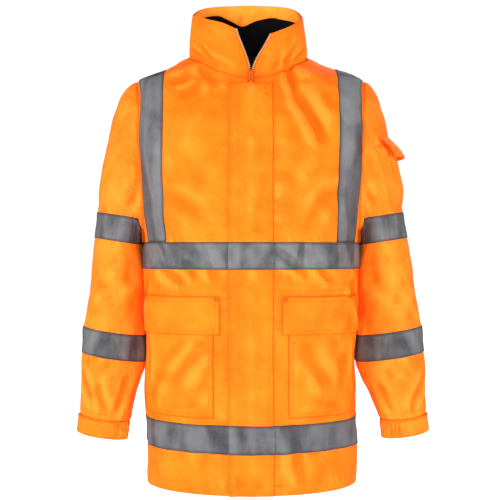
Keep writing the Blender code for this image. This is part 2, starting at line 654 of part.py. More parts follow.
body_piece("front_left", "orange", marks["front"] & left_half, -WALL, WALL)
body_piece("front_right", "orange", marks["front"] & ~left_half, -WALL, WALL)
body_piece("back", "orange", marks["back"], -WALL, WALL)
body_piece("storm_flap", "orange", marks["flap"], GAP, FLAP_WALL)
body_piece("tape_waist", "tape", marks["waist"], GAP, TAPE_WALL)
body_piece("tape_hem", "tape", marks["hem"], GAP, TAPE_WALL)
body_piece("tape_flap_waist", "tape", marks["flap_waist"], 2 * GAP + FLAP_WALL, TAPE_WALL)
body_piece("tape_flap_hem", "tape", marks["flap_hem"], 2 * GAP + FLAP_WALL, TAPE_WALL)
for side, half in (("left", left_half), ("right", ~left_half)):
    body_piece("tape_brace_" + side, "tape", marks["brace"] & half, GAP, TAPE_WALL)
    body_piece("pocket_" + side, "orange", marks["pocket"] & half, GAP + puff, PATCH_WALL)
    over_pocket = 2 * GAP + PATCH_WALL + puff
    body_piece("pocket_flap_" + side, "orange", marks["pocket_flap"] & half, over_pocket, FLAP_WALL)


def ring_of_body(points, side):
    """Where the body's skin and its normal are at points of its net, on one side."""
    where = np.stack([points[:, 0], up_cloth(points[:, 1])], axis=1)
    index = np.linalg.norm(net[None] - where[:, None], axis=-1).argmin(axis=1)
    index = index if side > 0 else mirror[index]
    return skin[index], normal[index]


# Sleeves: columns from the armhole to the cuff, rings square to the arm
def plane_of(z):
    return ARM_OUT * math.sin(ARM_TILT) - z * math.cos(ARM_TILT)


def ring_point(table, drop, turn):
    """Point of a ring at a drop along the arm and at an angle from the outer side, for x above zero."""
    z = (ARM_OUT * math.sin(ARM_TILT) - drop) / math.cos(ARM_TILT)
    cx, hw, cy, hd = (monotone(table, RING, c, z) for c in RING[1:])
    cz = (cx * math.sin(ARM_TILT) - drop) / math.cos(ARM_TILT)
    u, w = np.cos(turn), np.sin(turn)
    r = (np.abs(u) ** ARM_SQUARENESS + np.abs(w) ** ARM_SQUARENESS) ** (-1 / ARM_SQUARENESS)
    out, ahead = hw * r * u, hd * r * w
    return np.stack([cx + out * math.cos(ARM_TILT), cy + ahead, cz + out * math.sin(ARM_TILT)], axis=-1)


def sleeve_columns(side, name):
    """Dense column curves of a sleeve: points and their drops along the arm, for x above zero."""
    start, _ = ring_of_body(arm, side)
    start = start * (side, 1, 1)
    table = SLEEVE_RINGS[name]
    turn = -np.linspace(0, 2 * math.pi, ARM_POINTS, endpoint=False)
    centre = (ARM_TOP_Z + ARM_BOTTOM_Z) / 2
    first = plane_of(table[0][0])
    drops = np.linspace(first, plane_of(table[-1][0]), 60)
    columns = []
    for m in range(ARM_POINTS):
        down = (1 - math.cos(turn[m])) / 2
        spoke = unit(np.array([start[m, 1], start[m, 2] - centre]))
        high = (start[m, 2] - centre) / ((ARM_TOP_Z - ARM_BOTTOM_Z) / 2)
        lean = (1 + high) / 2
        reach = CAP_REACH_LOW + CAP_REACH[name] * max(lean, 0.0) ** 0.7
        leave = reach * unit(np.array([1.0, 0.24 * spoke[0], -0.12 * lean]))
        arrive_at = ring_point(table, np.array([first]), turn[m])[0]
        onward = ring_point(table, np.array([first + 0.004]), turn[m])[0] - arrive_at
        length = CAP_FALL[0] + CAP_FALL[1] * (1 - down) ** 0.8
        arrive = unit(onward) * length + np.array([CAP_FLARE, 0, 0]) * (1 - down)
        t = np.linspace(0, 1, 60)[:, None]
        cap = (
            (1 + 2 * t) * (1 - t) ** 2 * start[m]
            + t * (1 - t) ** 2 * leave
            + t * t * (3 - 2 * t) * arrive_at
            + t * t * (t - 1) * arrive
        )
        tube = np.array([ring_point(table, np.array([d]), turn[m])[0] for d in drops[1:]])
        column = np.concatenate([cap, tube])
        drop = column[:, 0] * math.sin(ARM_TILT) - column[:, 2] * math.cos(ARM_TILT)
        columns.append((column, np.maximum.accumulate(drop + np.arange(len(drop)) * 1e-9)))
    return columns, turn


def sleeve_grid(columns, levels, shrink=SQUEEZE):
    """Points of every column at each level; rings above the armhole's edge are squeezed along it."""
    rows = [np.array([c[0][0] for c in columns])]
    for k, level in enumerate(levels):
        row = []
        for pts, drop in columns:
            at = max(plane_of(level), drop[0] + (k + 1) * shrink)
            row.append([np.interp(at, drop, pts[:, i]) for i in range(3)])
        rows.append(np.array(row))
    return np.array(rows)


def tube_normals(grid):
    """Outward normals of a grid of (rings, columns), round a tube."""
    around = np.roll(grid, -1, axis=1) - np.roll(grid, 1, axis=1)
    down = np.gradient(grid, axis=0)
    out = unit(np.cross(around, down))
    spokes = (out[-1] * (grid[-1] - grid[-1].mean(axis=0))).sum(axis=-1)
    return -out if (spokes < 0).any() else out


def sleeve_folds(grid, name, turn):
    """How far the sleeve's folds push each point out, by angle and height."""
    out = np.zeros(grid.shape[:2])
    angle = np.degrees(turn)
    angle = (angle + 180) % 360 - 180
    for a0, z0, a1, z1, width, depth in SLEEVE_FOLDS[name]:
        ax = (angle - a0)[None, :] * FOLD_ARC
        pz = grid[..., 2] - z0
        bx, bz = (a1 - a0) * FOLD_ARC, z1 - z0
        t = np.clip((ax * bx + pz * bz) / (bx * bx + bz * bz), 0, 1)
        out += depth * np.exp(-((ax - t * bx) ** 2 + (pz - t * bz) ** 2) / width**2)
    return out


def tube_piece(name, colour, outer, inner, side, picked=None, around=True):
    """A piece of tube from two grids of (rings, columns), mirrored to its side."""
    rings, cols = outer.shape[:2]
    f = grid_faces(cols, rings, around)
    if picked is not None:
        f = f[picked]
    flat = outer.reshape(-1, 3) * (side, 1, 1), inner.reshape(-1, 3) * (side, 1, 1)
    f = f[:, ::-1] if side > 0 else f
    shell(name, colour, *flat, f)


def cells(columns, rows, col_from, col_to, row_from, row_to):
    """Mask over grid_faces of a closed grid: columns from col_from to col_to, going round, and rows."""
    keep = []
    span = (col_to - col_from) % columns
    for r in range(rows - 1):
        for c in range(columns):
            keep += [row_from <= r < row_to and (c - col_from) % columns < span] * 2
    return np.array(keep)


for side, name in ((1, "left"), (-1, "right")):
    columns, turn = sleeve_columns(side, name)
    grid = sleeve_grid(columns, SLEEVE_LEVELS)
    out = tube_normals(grid)
    from_edge = np.arange(len(grid))
    fade = np.minimum(1, from_edge / 3) * np.minimum(1, from_edge[::-1])
    grid = grid + out * (sleeve_folds(grid, name, turn) * fade[:, None])[..., None]
    out = tube_normals(grid)
    edge, edge_normal = ring_of_body(arm, side)
    edge, edge_normal = edge * (side, 1, 1), edge_normal * (side, 1, 1)
    tangent = unit(np.roll(edge, -1, axis=0) - np.roll(edge, 1, axis=0))
    off = unit(np.cross(tangent, edge_normal))
    centre = edge.mean(axis=0)
    off = np.where((off * (centre - edge)).sum(axis=-1, keepdims=True) > 0, off, -off)
    outer, inner = grid.copy(), grid - out * WALL
    from_underarm = np.abs(np.arange(ARM_POINTS) - ARM_POINTS // 2)
    seam_gap = GAP * np.where(from_underarm > 10, 2.4, 1.4)[:, None]
    outer[0] = edge + off * seam_gap
    inner[0] = edge + off * seam_gap - edge_normal * WALL
    tube_piece("sleeve_" + name, "orange", outer, inner, side)
    rows = len(grid)
    for band, (top, bottom) in (("upper_arm", UPPER_BAND), ("forearm", FOREARM_BAND)):
        r0, r1 = SLEEVE_LEVELS.index(top) + 1, SLEEVE_LEVELS.index(bottom) + 1
        picked = np.array([r0 <= r < r1 for r in range(rows - 1) for _ in range(2 * ARM_POINTS)])
        near, far = grid + out * GAP, grid + out * (GAP + TAPE_WALL)
        tube_piece("tape_%s_%s" % (band, name), "tape", far, near, side, picked)
    if name == "left":
        r0, r1 = (SLEEVE_LEVELS.index(z) + 1 for z in SLEEVE_POCKET_Z)
        c0, c1 = SLEEVE_POCKET_COLUMNS
        picked = cells(ARM_POINTS, rows, c0 % ARM_POINTS, c1, r0, r1)
        half = ARM_POINTS // 2
        r, c = np.meshgrid(np.arange(rows), (np.arange(ARM_POINTS) + half) % ARM_POINTS - half, indexing="ij")
        lift = np.clip(np.sin(math.pi * np.clip((r - r0) / (r1 - r0), 0, 1)) * 1.2, 0, 1)
        lift = lift * np.clip(np.sin(math.pi * np.clip((c - c0) / (c1 - c0), 0, 1)) * 1.5, 0, 1)
        near = (GAP + SLEEVE_POCKET_PUFF * lift)[..., None]
        skins = grid + out * (near + PATCH_WALL), grid + out * near
        tube_piece("sleeve_pocket", "orange", *skins, side, picked)
        # The flap stands open: it leaves the sleeve above the pocket and falls away from it
        heights, stand = zip(*OPEN_FLAP)
        wing = np.array(
            [
                [[np.interp(plane_of(z), drop, pts[:, i]) for i in range(3)] for pts, drop in columns]
                for z in heights
            ]
        )
        wing_out = tube_normals(wing)
        far = np.array(stand)[:, None, None]
        picked = cells(ARM_POINTS, len(heights), c0 % ARM_POINTS, c1 - 1, 0, len(heights))
        skins = wing + wing_out * (far + FLAP_WALL), wing + wing_out * far
        tube_piece("sleeve_pocket_flap", "orange", *skins, side, picked)

# Cuffs: a band gathered at its inner front, and the tab that closes it
for side, name in ((1, "left"), (-1, "right")):
    table = CUFF_RINGS[name]
    gather_end, gather_start = GATHER_DEG[name]
    gathered = np.linspace(gather_start, gather_end, 2 * GATHER_WAVES[name] + 1)
    plain = np.linspace(gather_end, -276, 8)[1:]
    to_tab = np.linspace(TAB_DEG[name][1], TAB_DEG[name][0], 11)
    degrees = np.concatenate([to_tab, gathered, plain])
    turn = np.radians(degrees)
    rows = []
    for share in CUFF_ROWS:
        z = table[0][0] + (table[1][0] - table[0][0]) * share
        ring = ring_point(table, np.full(len(turn), plane_of(z)), turn)
        wave = np.where(
            (degrees <= gather_start) & (degrees >= gather_end),
            np.cos(math.pi * (np.arange(len(degrees)) - len(to_tab))) * GATHER_DEPTH,
            0.0,
        )
        centre = ring.mean(axis=0)
        rows.append(ring + unit(ring - centre) * wave[:, None])
    grid = np.array(rows)
    out = tube_normals(grid)
    smooth = unit(out + np.roll(out, 1, axis=1) + np.roll(out, -1, axis=1))
    tube_piece("cuff_" + name, "orange", grid, grid - smooth * CUFF_WALL, side)
    picked = cells(len(turn), len(CUFF_ROWS), 0, len(to_tab) - 1, 1, len(CUFF_ROWS) - 2)
    along_tab = np.clip(np.arange(len(turn)) / (len(to_tab) - 1), 0, 1)
    far = (GAP + TAB_PUFF * np.clip(np.sin(math.pi * along_tab) * 2, 0, 1))[None, :, None]
    skins = grid + smooth * (far + TAB_WALL), grid + smooth * far
    tube_piece("cuff_tab_" + name, "orange", *skins, side, picked)

# Collar: columns from each front edge round to the centre back, rows from the neck seam to the top
def collar_half(side, name):
    """Outer skin of half a collar, as a grid of (rows, columns)."""
    base_points, base_normals = ring_of_body(neck, side)
    flat = base_points * (side, 1, 1)
    tangent = unit(np.gradient(flat, axis=0))
    away = unit(np.cross(tangent, base_normals * (side, 1, 1)))
    away = np.where(away[:, 2:3] < 0, -away, away)
    low = flat + away * 1.15 * GAP
    run = np.concatenate([[0], np.cumsum(np.linalg.norm(np.diff(flat, axis=0), axis=1))])
    share = run / run[-1]
    high = np.stack([monotone(COLLAR_TOP[name], TOP, c, share) for c in TOP[1:]], axis=1)
    rows = []
    for t in COLLAR_ROWS:
        tall = np.linalg.norm(high - low, axis=1)[:, None]
        lean_back = np.interp(share, (0, 0.3, 1), (-0.10, 0.0, 0.10))
        up = np.stack([np.zeros_like(share), lean_back, np.ones_like(share)], axis=1)
        rows.append(
            (1 + 2 * t) * (1 - t) ** 2 * low
            + t * (1 - t) ** 2 * up * tall
            + t * t * (3 - 2 * t) * high
            + t * t * (t - 1) * (high - low)
        )
    return np.array(rows), base_normals * (side, 1, 1)


halves = {name: collar_half(side, name) for side, name in ((1, "left"), (-1, "right"))}
left, right = halves["left"][0], halves["right"][0] * (-1, 1, 1)
middle = (left[:, -1:] + right[:, -1:]) / 2
collar = np.concatenate([left[:, :-1], middle, right[:, ::-1][:, 1:]], axis=1)
left_out, right_out = halves["left"][1], halves["right"][1] * (-1, 1, 1)
seam = np.concatenate([left_out[:-1], left_out[-1:] * (0, 1, 1), right_out[::-1][1:]])
across = np.gradient(collar, axis=1)
upward = np.gradient(collar, axis=0)
collar_out = unit(np.cross(across, upward))
if (collar_out[2] * (collar[2] - collar[2].mean(axis=0))).sum() < 0:
    collar_out = -collar_out


def collar_piece(name, colour, near, wall, row_from, row_to):
    """A layer of the collar, its outer skin near inside the collar's own."""
    outer, inner = collar - collar_out * near, collar - collar_out * (near + wall)
    if row_from == 0 and near == 0:
        inner[0] = outer[0] - unit(seam + collar_out[0]) * wall
    if row_to < len(collar) - 1:
        step = unit(collar[row_to] - collar[row_to - 1]) * 1.2 * GAP
        outer[row_to], inner[row_to] = outer[row_to] - step, inner[row_to] - step
    rows, cols = collar.shape[:2]
    f = grid_faces(cols, rows, False)
    picked = np.array([row_from <= r < row_to for r in range(rows - 1) for _ in range(2 * (cols - 1))])
    shell(name, colour, outer.reshape(-1, 3), inner.reshape(-1, 3), f[picked])


last = len(COLLAR_ROWS) - 1
collar_piece("collar", "orange", 0.0, COLLAR_WALL, 0, last)
collar_piece("collar_facing", "orange", COLLAR_WALL + GAP, FACING_WALL, FACING_FROM, last)
collar_piece("neck_lining", "black", COLLAR_WALL + GAP, FACING_WALL, 1, FACING_FROM)

# Zip: the closed chain up the front, then a branch along each edge of the collar
def zip_piece():
    """The stem from the body's net, with a strip going up from each half of its top, as one wall."""
    stem = faces[marks["zip"]]
    used = np.unique(stem)
    renumber = np.full(len(skin), -1)
    renumber[used] = np.arange(len(used))
    points, out, stem = list(skin[used]), list(normal[used]), renumber[stem]
    top = [k for k in range(len(used)) if skin[used[k], 2] > neck[0, 1] - 0.002]
    centre = max((k for k in top if abs(points[k][0]) < 1e-6), key=lambda k: points[k][2])
    strips = []
    for column, beside, sign in ((0, 1, 1), (-1, -2, -1)):
        corner = max((k for k in top if points[k][0] * sign > 0.9 * ZIP_HALF), key=lambda k: points[k][2])
        edge = collar[:, column]
        inwards = unit(edge - collar[:, beside])
        near, far = edge + inwards * GAP, edge + inwards * (GAP + ZIP_HALF)
        far[:, 0] = np.maximum(far[:, 0] * sign, ZIP_SLIT) * sign
        far[:2, 0] = ZIP_SLIT * sign
        previous = (centre, corner)
        for k in range(1, len(collar)):
            index = len(points)
            points += [far[k], near[k]]
            out += [collar_out[k, column]] * 2
            pair = [(previous[0], previous[1], index + 1), (previous[0], index + 1, index)]
            strips += pair if sign > 0 else [triangle[::-1] for triangle in pair]
            previous = (index, index + 1)
    points, out = np.array(points), np.array(out)
    skins = (points - out * depth for depth in ZIP_SKINS)
    shell("zip", "zip", *skins, np.concatenate([stem, strips]))


zip_piece()


# Slider: a plate with a bridge, and the pull loop through it
def lean(points):
    """From the slider's own frame, with its face towards -Y, to the jacket's."""
    c, s = math.cos(SLIDER_LEAN), math.sin(SLIDER_LEAN)
    points = np.asarray(points, float)
    x, y, z = points[:, 0], points[:, 1], points[:, 2]
    return np.stack([x, y * c + z * s, -y * s + z * c], axis=1) + SLIDER_AT


def tube(name, path, radius, sides, closed):
    """A bar bent along a path in the slider's own frame."""
    path = np.asarray(path, float)
    n = len(path)
    if closed:
        ahead = unit(np.roll(path, -1, axis=0) - np.roll(path, 1, axis=0))
    else:
        ahead = unit(np.gradient(path, axis=0))
    spin = np.cross(ahead[0], ahead[n // 3])
    spin = spin / np.linalg.norm(spin)
    verts = []
    for p, d in zip(path, ahead):
        across = np.cross(spin, d)
        for k in range(sides):
            a = 2 * math.pi * (k + 0.5) / sides
            verts.append(p + radius * (math.cos(a) * across + math.sin(a) * spin))
    faces_out = []
    for i in range(n if closed else n - 1):
        for k in range(sides):
            a, b = i * sides + k, i * sides + (k + 1) % sides
            c, d = (i + 1) % n * sides + (k + 1) % sides, (i + 1) % n * sides + k
            faces_out.append((a, b, c, d))
    if not closed:
        faces_out += [tuple(range(sides))[::-1], tuple((n - 1) * sides + k for k in range(sides))]
    mesh = bpy.data.meshes.new(name)
    mesh.from_pydata([tuple(v) for v in lean(verts)], [], faces_out)
    fix = bmesh.new()
    fix.from_mesh(mesh)
    bmesh.ops.recalc_face_normals(fix, faces=fix.faces)
    fix.to_mesh(mesh)
    fix.free()
    return mesh


width, thick, tall = SLIDER_SIZE
plate = bpy.data.meshes.new("plate")
n = len(SLIDER_OUTLINE)
plate_points = [(u * width, y * thick, w * tall) for y in (-0.5, 0.5) for u, w in SLIDER_OUTLINE]
plate_sides = [(i, i + n, (i + 1) % n + n, (i + 1) % n) for i in range(n)]
plate_ends = [tuple(range(n)), tuple(range(2 * n - 1, n - 1, -1))]
plate.from_pydata([tuple(p) for p in lean(plate_points)], [], plate_ends + plate_sides)
shape = bmesh.new()
shape.from_mesh(plate)
bmesh.ops.recalc_face_normals(shape, faces=shape.faces)
shape.to_mesh(plate)
shape.free()
slider = node("zip_slider", "metal", plate)
bridge = node("bridge", "metal", tube("bridge", BRIDGE_PATH, BRIDGE_RADIUS, BAR_SIDES, False))
bridge.hide_render = True
join = slider.modifiers.new("bridge", "BOOLEAN")
join.operation, join.solver, join.object = "UNION", "EXACT", bridge

half = PULL_WIDTH / 2 - PULL_BAR / 2
pull_bottom = PULL_TOP - PULL_LENGTH + PULL_BAR
loop = []
for degrees in (0, 30, 60, 90, 120, 150, 180, 181, 210, 240, 270, 300, 330, 359):
    a = math.radians(degrees)
    bend = PULL_TOP - half if degrees <= 180 else pull_bottom + half
    loop.append((half * math.cos(a), PULL_OUT, bend + half * math.sin(a)))
node("zip_pull", "orange", tube("zip_pull", loop, PULL_BAR / 2, BAR_SIDES, True))
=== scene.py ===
"""Hi-vis work jacket, worn shape with no wearer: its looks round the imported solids, in metres, +Z up.

The front faces -Y and the wearer's left is +X. Each cloth piece is laid out flat, as (girth from the
centre front, height), and put on the jacket's surface; what is sewn on top is made from the same points,
moved out.
"""

import math

import bpy
import numpy as np
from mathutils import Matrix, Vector, kdtree
from mathutils.geometry import delaunay_2d_cdt


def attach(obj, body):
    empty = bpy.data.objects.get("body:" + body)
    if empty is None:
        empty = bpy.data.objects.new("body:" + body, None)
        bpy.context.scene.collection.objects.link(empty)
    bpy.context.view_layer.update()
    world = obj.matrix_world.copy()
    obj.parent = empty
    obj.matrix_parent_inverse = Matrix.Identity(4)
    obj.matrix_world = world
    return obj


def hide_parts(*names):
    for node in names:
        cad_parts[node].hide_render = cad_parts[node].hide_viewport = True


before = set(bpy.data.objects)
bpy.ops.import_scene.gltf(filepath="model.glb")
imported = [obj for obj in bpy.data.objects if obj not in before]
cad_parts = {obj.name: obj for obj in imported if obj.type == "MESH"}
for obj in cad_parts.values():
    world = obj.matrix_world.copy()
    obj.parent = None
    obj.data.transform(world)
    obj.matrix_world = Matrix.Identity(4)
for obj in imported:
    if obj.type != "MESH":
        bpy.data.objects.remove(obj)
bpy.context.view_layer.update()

# Studio: a pale floor and soft boxes at both sides, as for a catalogue picture on white.
# The camera stands level with the middle of the jacket, straight in front of it.
CAMERA_AWAY = 1.85
CAMERA_HEIGHT = -0.345
FRAME_PX = 500
FOCAL_PX = 966
CENTRE_PX = 251  # column of the photo where the jacket's centre line lies
SENSOR_MM = 36.0
FLOOR_Z = -1.02


def add(name, data):
    """A new object in the scene."""
    made = bpy.data.objects.new(name, data)
    bpy.context.scene.collection.objects.link(made)
    return made


camera = add("camera", bpy.data.cameras.new("camera"))
camera.location = (0, -CAMERA_AWAY, CAMERA_HEIGHT)
camera.rotation_euler = (math.radians(90), 0, 0)
camera.data.sensor_width = SENSOR_MM
camera.data.lens = SENSOR_MM * FOCAL_PX / FRAME_PX
camera.data.shift_x = (FRAME_PX / 2 - CENTRE_PX) / FRAME_PX
bpy.context.scene.camera = camera
bpy.context.scene.view_settings.view_transform = "Standard"

LIGHT_AIM = (0, 0, -0.40)
LIGHTS = (  # x, y, z, width, watts
    (-1.85, -1.25, 0.15, 0.5, 33.0), (1.8, -1.25, -0.2, 0.7, 19.0), (0.1, -1.5, 1.5, 0.6, 7.5),
    (0.0, -1.95, -0.8, 0.8, 24.0), (0.6, 2.1, 0.9, 1.4, 25.0),
)
for x, y, z, width, watts in LIGHTS:
    lamp = bpy.data.lights.new("soft_box", "AREA")
    lamp.shape, lamp.size, lamp.energy = "DISK", width, watts
    box = add("soft_box", lamp)
    box.location = (x, y, z)
    box.rotation_euler = (Vector(LIGHT_AIM) - Vector((x, y, z))).to_track_quat("-Z", "Y").to_euler()


class Value:
    """A socket of a node tree, so that shader maths is written as Python expressions."""

    def __init__(self, tree, socket=None):
        self.tree, self.socket = tree, socket

    def node(self, kind, settings=None, inputs=None, out=0):
        """A node of this kind: its settings first, then its sockets by name or number."""
        made = self.tree.nodes.new(kind)
        for name, value in (settings or {}).items():
            setattr(made, name, value)
        for key, value in (inputs or {}).items():
            if isinstance(value, Value):
                self.tree.links.new(value.socket, made.inputs[key])
            else:
                made.inputs[key].default_value = value
        return Value(self.tree, made.outputs[out])

    def maths(self, operation, *values):
        return self.node("ShaderNodeMath", {"operation": operation}, dict(enumerate(values)))

    def mixed(self, first, second):
        """Two colours mixed by this value."""
        return self.node("ShaderNodeMix", {"data_type": "RGBA"}, {"Factor": self, 6: first, 7: second}, 2)

    def between(self, low, high):
        """0 below low and 1 above high, with a soft step between."""
        return self.node("ShaderNodeMapRange", {"interpolation_type": "SMOOTHSTEP"},
                         {"Value": self, "From Min": low, "From Max": high})

    def place(self):
        return self.node("ShaderNodeTexCoord", out=3)

    def cloth(self):
        """Where a point lies on the flat cloth, in metres."""
        return self.node("ShaderNodeUVMap", {"uv_map": "cloth"})

    def mark(self, name):
        """A number that the mesh carries at each point."""
        return self.node("ShaderNodeAttribute", {"attribute_name": name}, out=2)

    def noise(self, place, scale, detail, rough=0.5, twist=0.0):
        return self.node("ShaderNodeTexNoise", inputs={
            "Vector": place, "Scale": scale, "Detail": detail, "Roughness": rough, "Distortion": twist,
        })

    def cells(self, place, scale):
        return self.node("ShaderNodeTexVoronoi", inputs={"Vector": place, "Scale": scale})

    def bumps(self, *layers):
        """The normal after bumps of (strength, depth in metres, height), the broadest first."""
        inputs = {}
        for strength, deep, lift in layers:
            inputs.update({"Strength": strength, "Distance": deep, "Height": lift})
            inputs["Normal"] = self.node("ShaderNodeBump", inputs=inputs)
        return inputs["Normal"]

    def __add__(self, other):
        return self.maths("ADD", self, other)

    __radd__ = __add__

    def __sub__(self, other):
        return self.maths("SUBTRACT", self, other)

    def __rsub__(self, other):
        return self.maths("SUBTRACT", other, self)

    def __mul__(self, other):
        return self.maths("MULTIPLY", self, other)

    __rmul__ = __mul__

    def __abs__(self):
        return self.maths("ABSOLUTE", self)


def finish_of(name, rough, sheen=0.0, metallic=0.0, glow=0.0, specular=0.5, glow_colour=(1, 1, 1, 1)):
    """A new material with its shader's plain settings, the start of its tree, and the shader."""
    material = bpy.data.materials.new(name)
    material.use_nodes = True
    shader = material.node_tree.nodes["Principled BSDF"]
    for key, value in (
        ("Roughness", rough), ("Sheen Weight", sheen), ("Sheen Roughness", 0.45), ("Metallic", metallic),
        ("Emission Strength", glow), ("Emission Color", glow_colour), ("Specular IOR Level", specular),
    ):
        shader.inputs[key].default_value = value
    return material, Value(material.node_tree), shader


def feed(tree, shader, **sockets):
    """Links values to the shader's sockets, which are named with _ for a space."""
    for name, value in sockets.items():
        tree.tree.links.new(value.socket, shader.inputs[name.replace("_", " ")])


MOULDED_GLOW = (1.0, 0.10, 0.0, 1)


def grained(name, rough, specular, scale, detail, dark, light, bump, dull, glow=0.0):
    """A plain finish in two tones of a fine grain: bump is (strength, depth), dull is (least, more)."""
    material, tree, shader = finish_of(name, rough, glow=glow, specular=specular, glow_colour=MOULDED_GLOW)
    grain = tree.noise(tree.place(), scale, detail)
    feed(tree, shader, Base_Color=grain.mixed((*dark, 1), (*light, 1)), Roughness=dull[0] + dull[1] * grain,
         Normal=tree.bumps((*bump, grain)))
    return material


FLOOR_HALF = 9
floor_finish, tree, shader = finish_of("pale_floor", 0.9, glow=0.95)
speckle = tree.noise(tree.place(), 3.0, 2.0)
seen = tree.node("ShaderNodeLightPath")
feed(tree, shader, Base_Color=speckle.mixed((0.86, 0.86, 0.86, 1), (0.90, 0.90, 0.90, 1)),
     Emission_Color=seen.mixed((0.18, 0.18, 0.18, 1), (1, 1, 1, 1)))
floor_mesh = bpy.data.meshes.new("floor")
corners = [(x * FLOOR_HALF, y * FLOOR_HALF, FLOOR_Z) for x, y in ((-1, -1), (1, -1), (1, 1), (-1, 1))]
floor_mesh.from_pydata(corners, [], [(0, 1, 2, 3)])
floor_mesh.materials.append(floor_finish)
add("floor", floor_mesh)

world = bpy.data.worlds.new("studio")
world.use_nodes = True
bpy.context.scene.world = world
tree = Value(world.node_tree)
seen = tree.node("ShaderNodeLightPath")
backdrop = world.node_tree.nodes["Background"]
backdrop.inputs["Color"].default_value = (1, 1, 1, 1)
world.node_tree.links.new((0.36 + 0.68 * seen).socket, backdrop.inputs["Strength"])

# Body cloth: fluorescent orange coated polyester with a quilted black lining, two fronts and one back.
# The worn shape comes from its sections; the creases are listed for each panel.
# Panels meet at the side seams, under the armholes and along the shoulders.
GAP = 0.0003
WALL = 0.0025
CLOTH_STEP = 0.0043
HEM_Z = -0.782
ZIP_HALF = 0.0050
HEM_LEAN = 0.0012
NECK_LEAN = 0.0050

SECTIONS = (  # z, half width, front depth, back depth, squareness
    (-0.79, 0.1995, 0.139, 0.145, 2.1), (-0.7, 0.2, 0.14, 0.146, 2.1), (-0.55, 0.2003, 0.141, 0.147, 2.1),
    (-0.45, 0.202, 0.141, 0.148, 2.15), (-0.355, 0.2068, 0.141, 0.149, 2.25),
    (-0.28, 0.2128, 0.141, 0.151, 2.5), (-0.2, 0.219, 0.139, 0.153, 3.0),
    (-0.13, 0.2235, 0.1335, 0.15, 3.3), (-0.085, 0.223, 0.122, 0.144, 3.0),
    (-0.05, 0.2205, 0.1085, 0.136, 2.6), (-0.029, 0.216, 0.095, 0.1272, 2.3),
    (-0.018, 0.199, 0.0862, 0.1218, 2.15), (-0.002, 0.1634, 0.0712, 0.1128, 2.05),
    (0.012, 0.133, 0.059, 0.104, 2.0), (0.023, 0.109, 0.049, 0.0962, 2.0),
    (0.036, 0.092, 0.038, 0.0859, 2.0), (0.045, 0.07, 0.03, 0.078, 2.0),
)
NECKLINE = (  # angle from the side line, z
    (-90, -0.029), (-78, -0.0275), (-58, -0.0196), (-36, -0.002), (0, 0.023), (45, 0.036), (72, 0.0435),
    (90, 0.045),
)
ARM_TOP_Z, ARM_BOTTOM_Z = -0.0250, -0.3080
ARM_MIDDLE_Z, ARM_HALF_Z = (ARM_TOP_Z + ARM_BOTTOM_Z) / 2, (ARM_TOP_Z - ARM_BOTTOM_Z) / 2
ARM_FRONT_DEG, ARM_BACK_DEG = 22.3, 20.0
ARM_UPPER_POWER, ARM_LOWER_POWER = 1.17, 0.58


def smooth(x):
    """A soft step from 0 to 1."""
    x = np.clip(x, 0, 1)
    return x * x * (3 - 2 * x)


def unit(v):
    return v / np.maximum(np.linalg.norm(v, axis=-1, keepdims=True), 1e-12)


def bend(t, start, leave, end, arrive, far=1.0):
    """A smooth curve at shares t of its way, with the slopes that it leaves and arrives at."""
    return ((1 + 2 * t) * (1 - t) ** 2 * start + t * (1 - t) ** 2 * far * leave
            + t * t * (3 - 2 * t) * end + t * t * (t - 1) * far * arrive)


def monotone(rows, at):
    """The columns of a table after its first as smooth curves of the first, with no overshoot."""
    table = np.array(sorted(rows), float).T
    xs, ys = table[0], table[1:]
    h = np.diff(xs)
    d = np.diff(ys) / h
    m = np.zeros(ys.shape)
    both = d[:, :-1] * d[:, 1:] > 0
    total = np.where(both, d[:, :-1] + d[:, 1:], 1.0)
    m[:, 1:-1] = np.where(both, 2 * d[:, :-1] * d[:, 1:] / total, 0.0)
    m[:, 0], m[:, -1] = d[:, 0], d[:, -1]
    at = np.clip(at, xs[0], xs[-1])
    k = np.clip(np.searchsorted(xs, at) - 1, 0, len(h) - 1)
    return bend((at - xs[k]) / h[k], ys[:, k], m[:, k], ys[:, k + 1], m[:, k + 1], h[k])


def lengths(points, axis=0):
    """The distance run along an axis of a line or a grid of points, from zero."""
    run = np.cumsum(np.linalg.norm(np.diff(points, axis=axis), axis=-1), axis=axis)
    return np.concatenate([np.zeros_like(np.take(run, [0], axis)), run], axis=axis)


def laid(a, b):
    """Places on the flat cloth from their two coordinates."""
    return np.stack(np.broadcast_arrays(a, b), axis=-1)


# The lie of the body: points by girth from the centre front and by height up the cloth
TURNS = np.radians(np.linspace(-90, 90, 241))
LEVELS = np.linspace(SECTIONS[0][0], SECTIONS[-1][0], 900)
SLOPE = np.abs(np.gradient(monotone(SECTIONS, LEVELS)[:2], LEVELS, axis=1)).max(axis=0)
RISE = np.concatenate([[0], np.cumsum(np.diff(LEVELS) * np.sqrt(1 + ((SLOPE[1:] + SLOPE[:-1]) / 2) ** 2))])


def rise(z):
    """Height measured up the cloth, which runs faster than z over the shoulders."""
    return np.interp(z, LEVELS, RISE)


def height(v):
    return np.interp(v, RISE, LEVELS)


def half_section(z):
    z = np.atleast_1d(np.asarray(z, float))
    a, front, back, n = monotone(SECTIONS, z)[..., None]
    depth = np.where(TURNS < 0, front, back)
    r = ((np.cos(TURNS) / a) ** n + (np.abs(np.sin(TURNS)) / depth) ** n) ** (-1 / n)
    x, y = r * np.cos(TURNS), r * np.sin(TURNS)
    x[:, 0] = x[:, -1] = 0.0
    s = np.concatenate([np.zeros((len(z), 1)), np.cumsum(np.hypot(np.diff(x), np.diff(y)), axis=1)], axis=1)
    return x, y, s


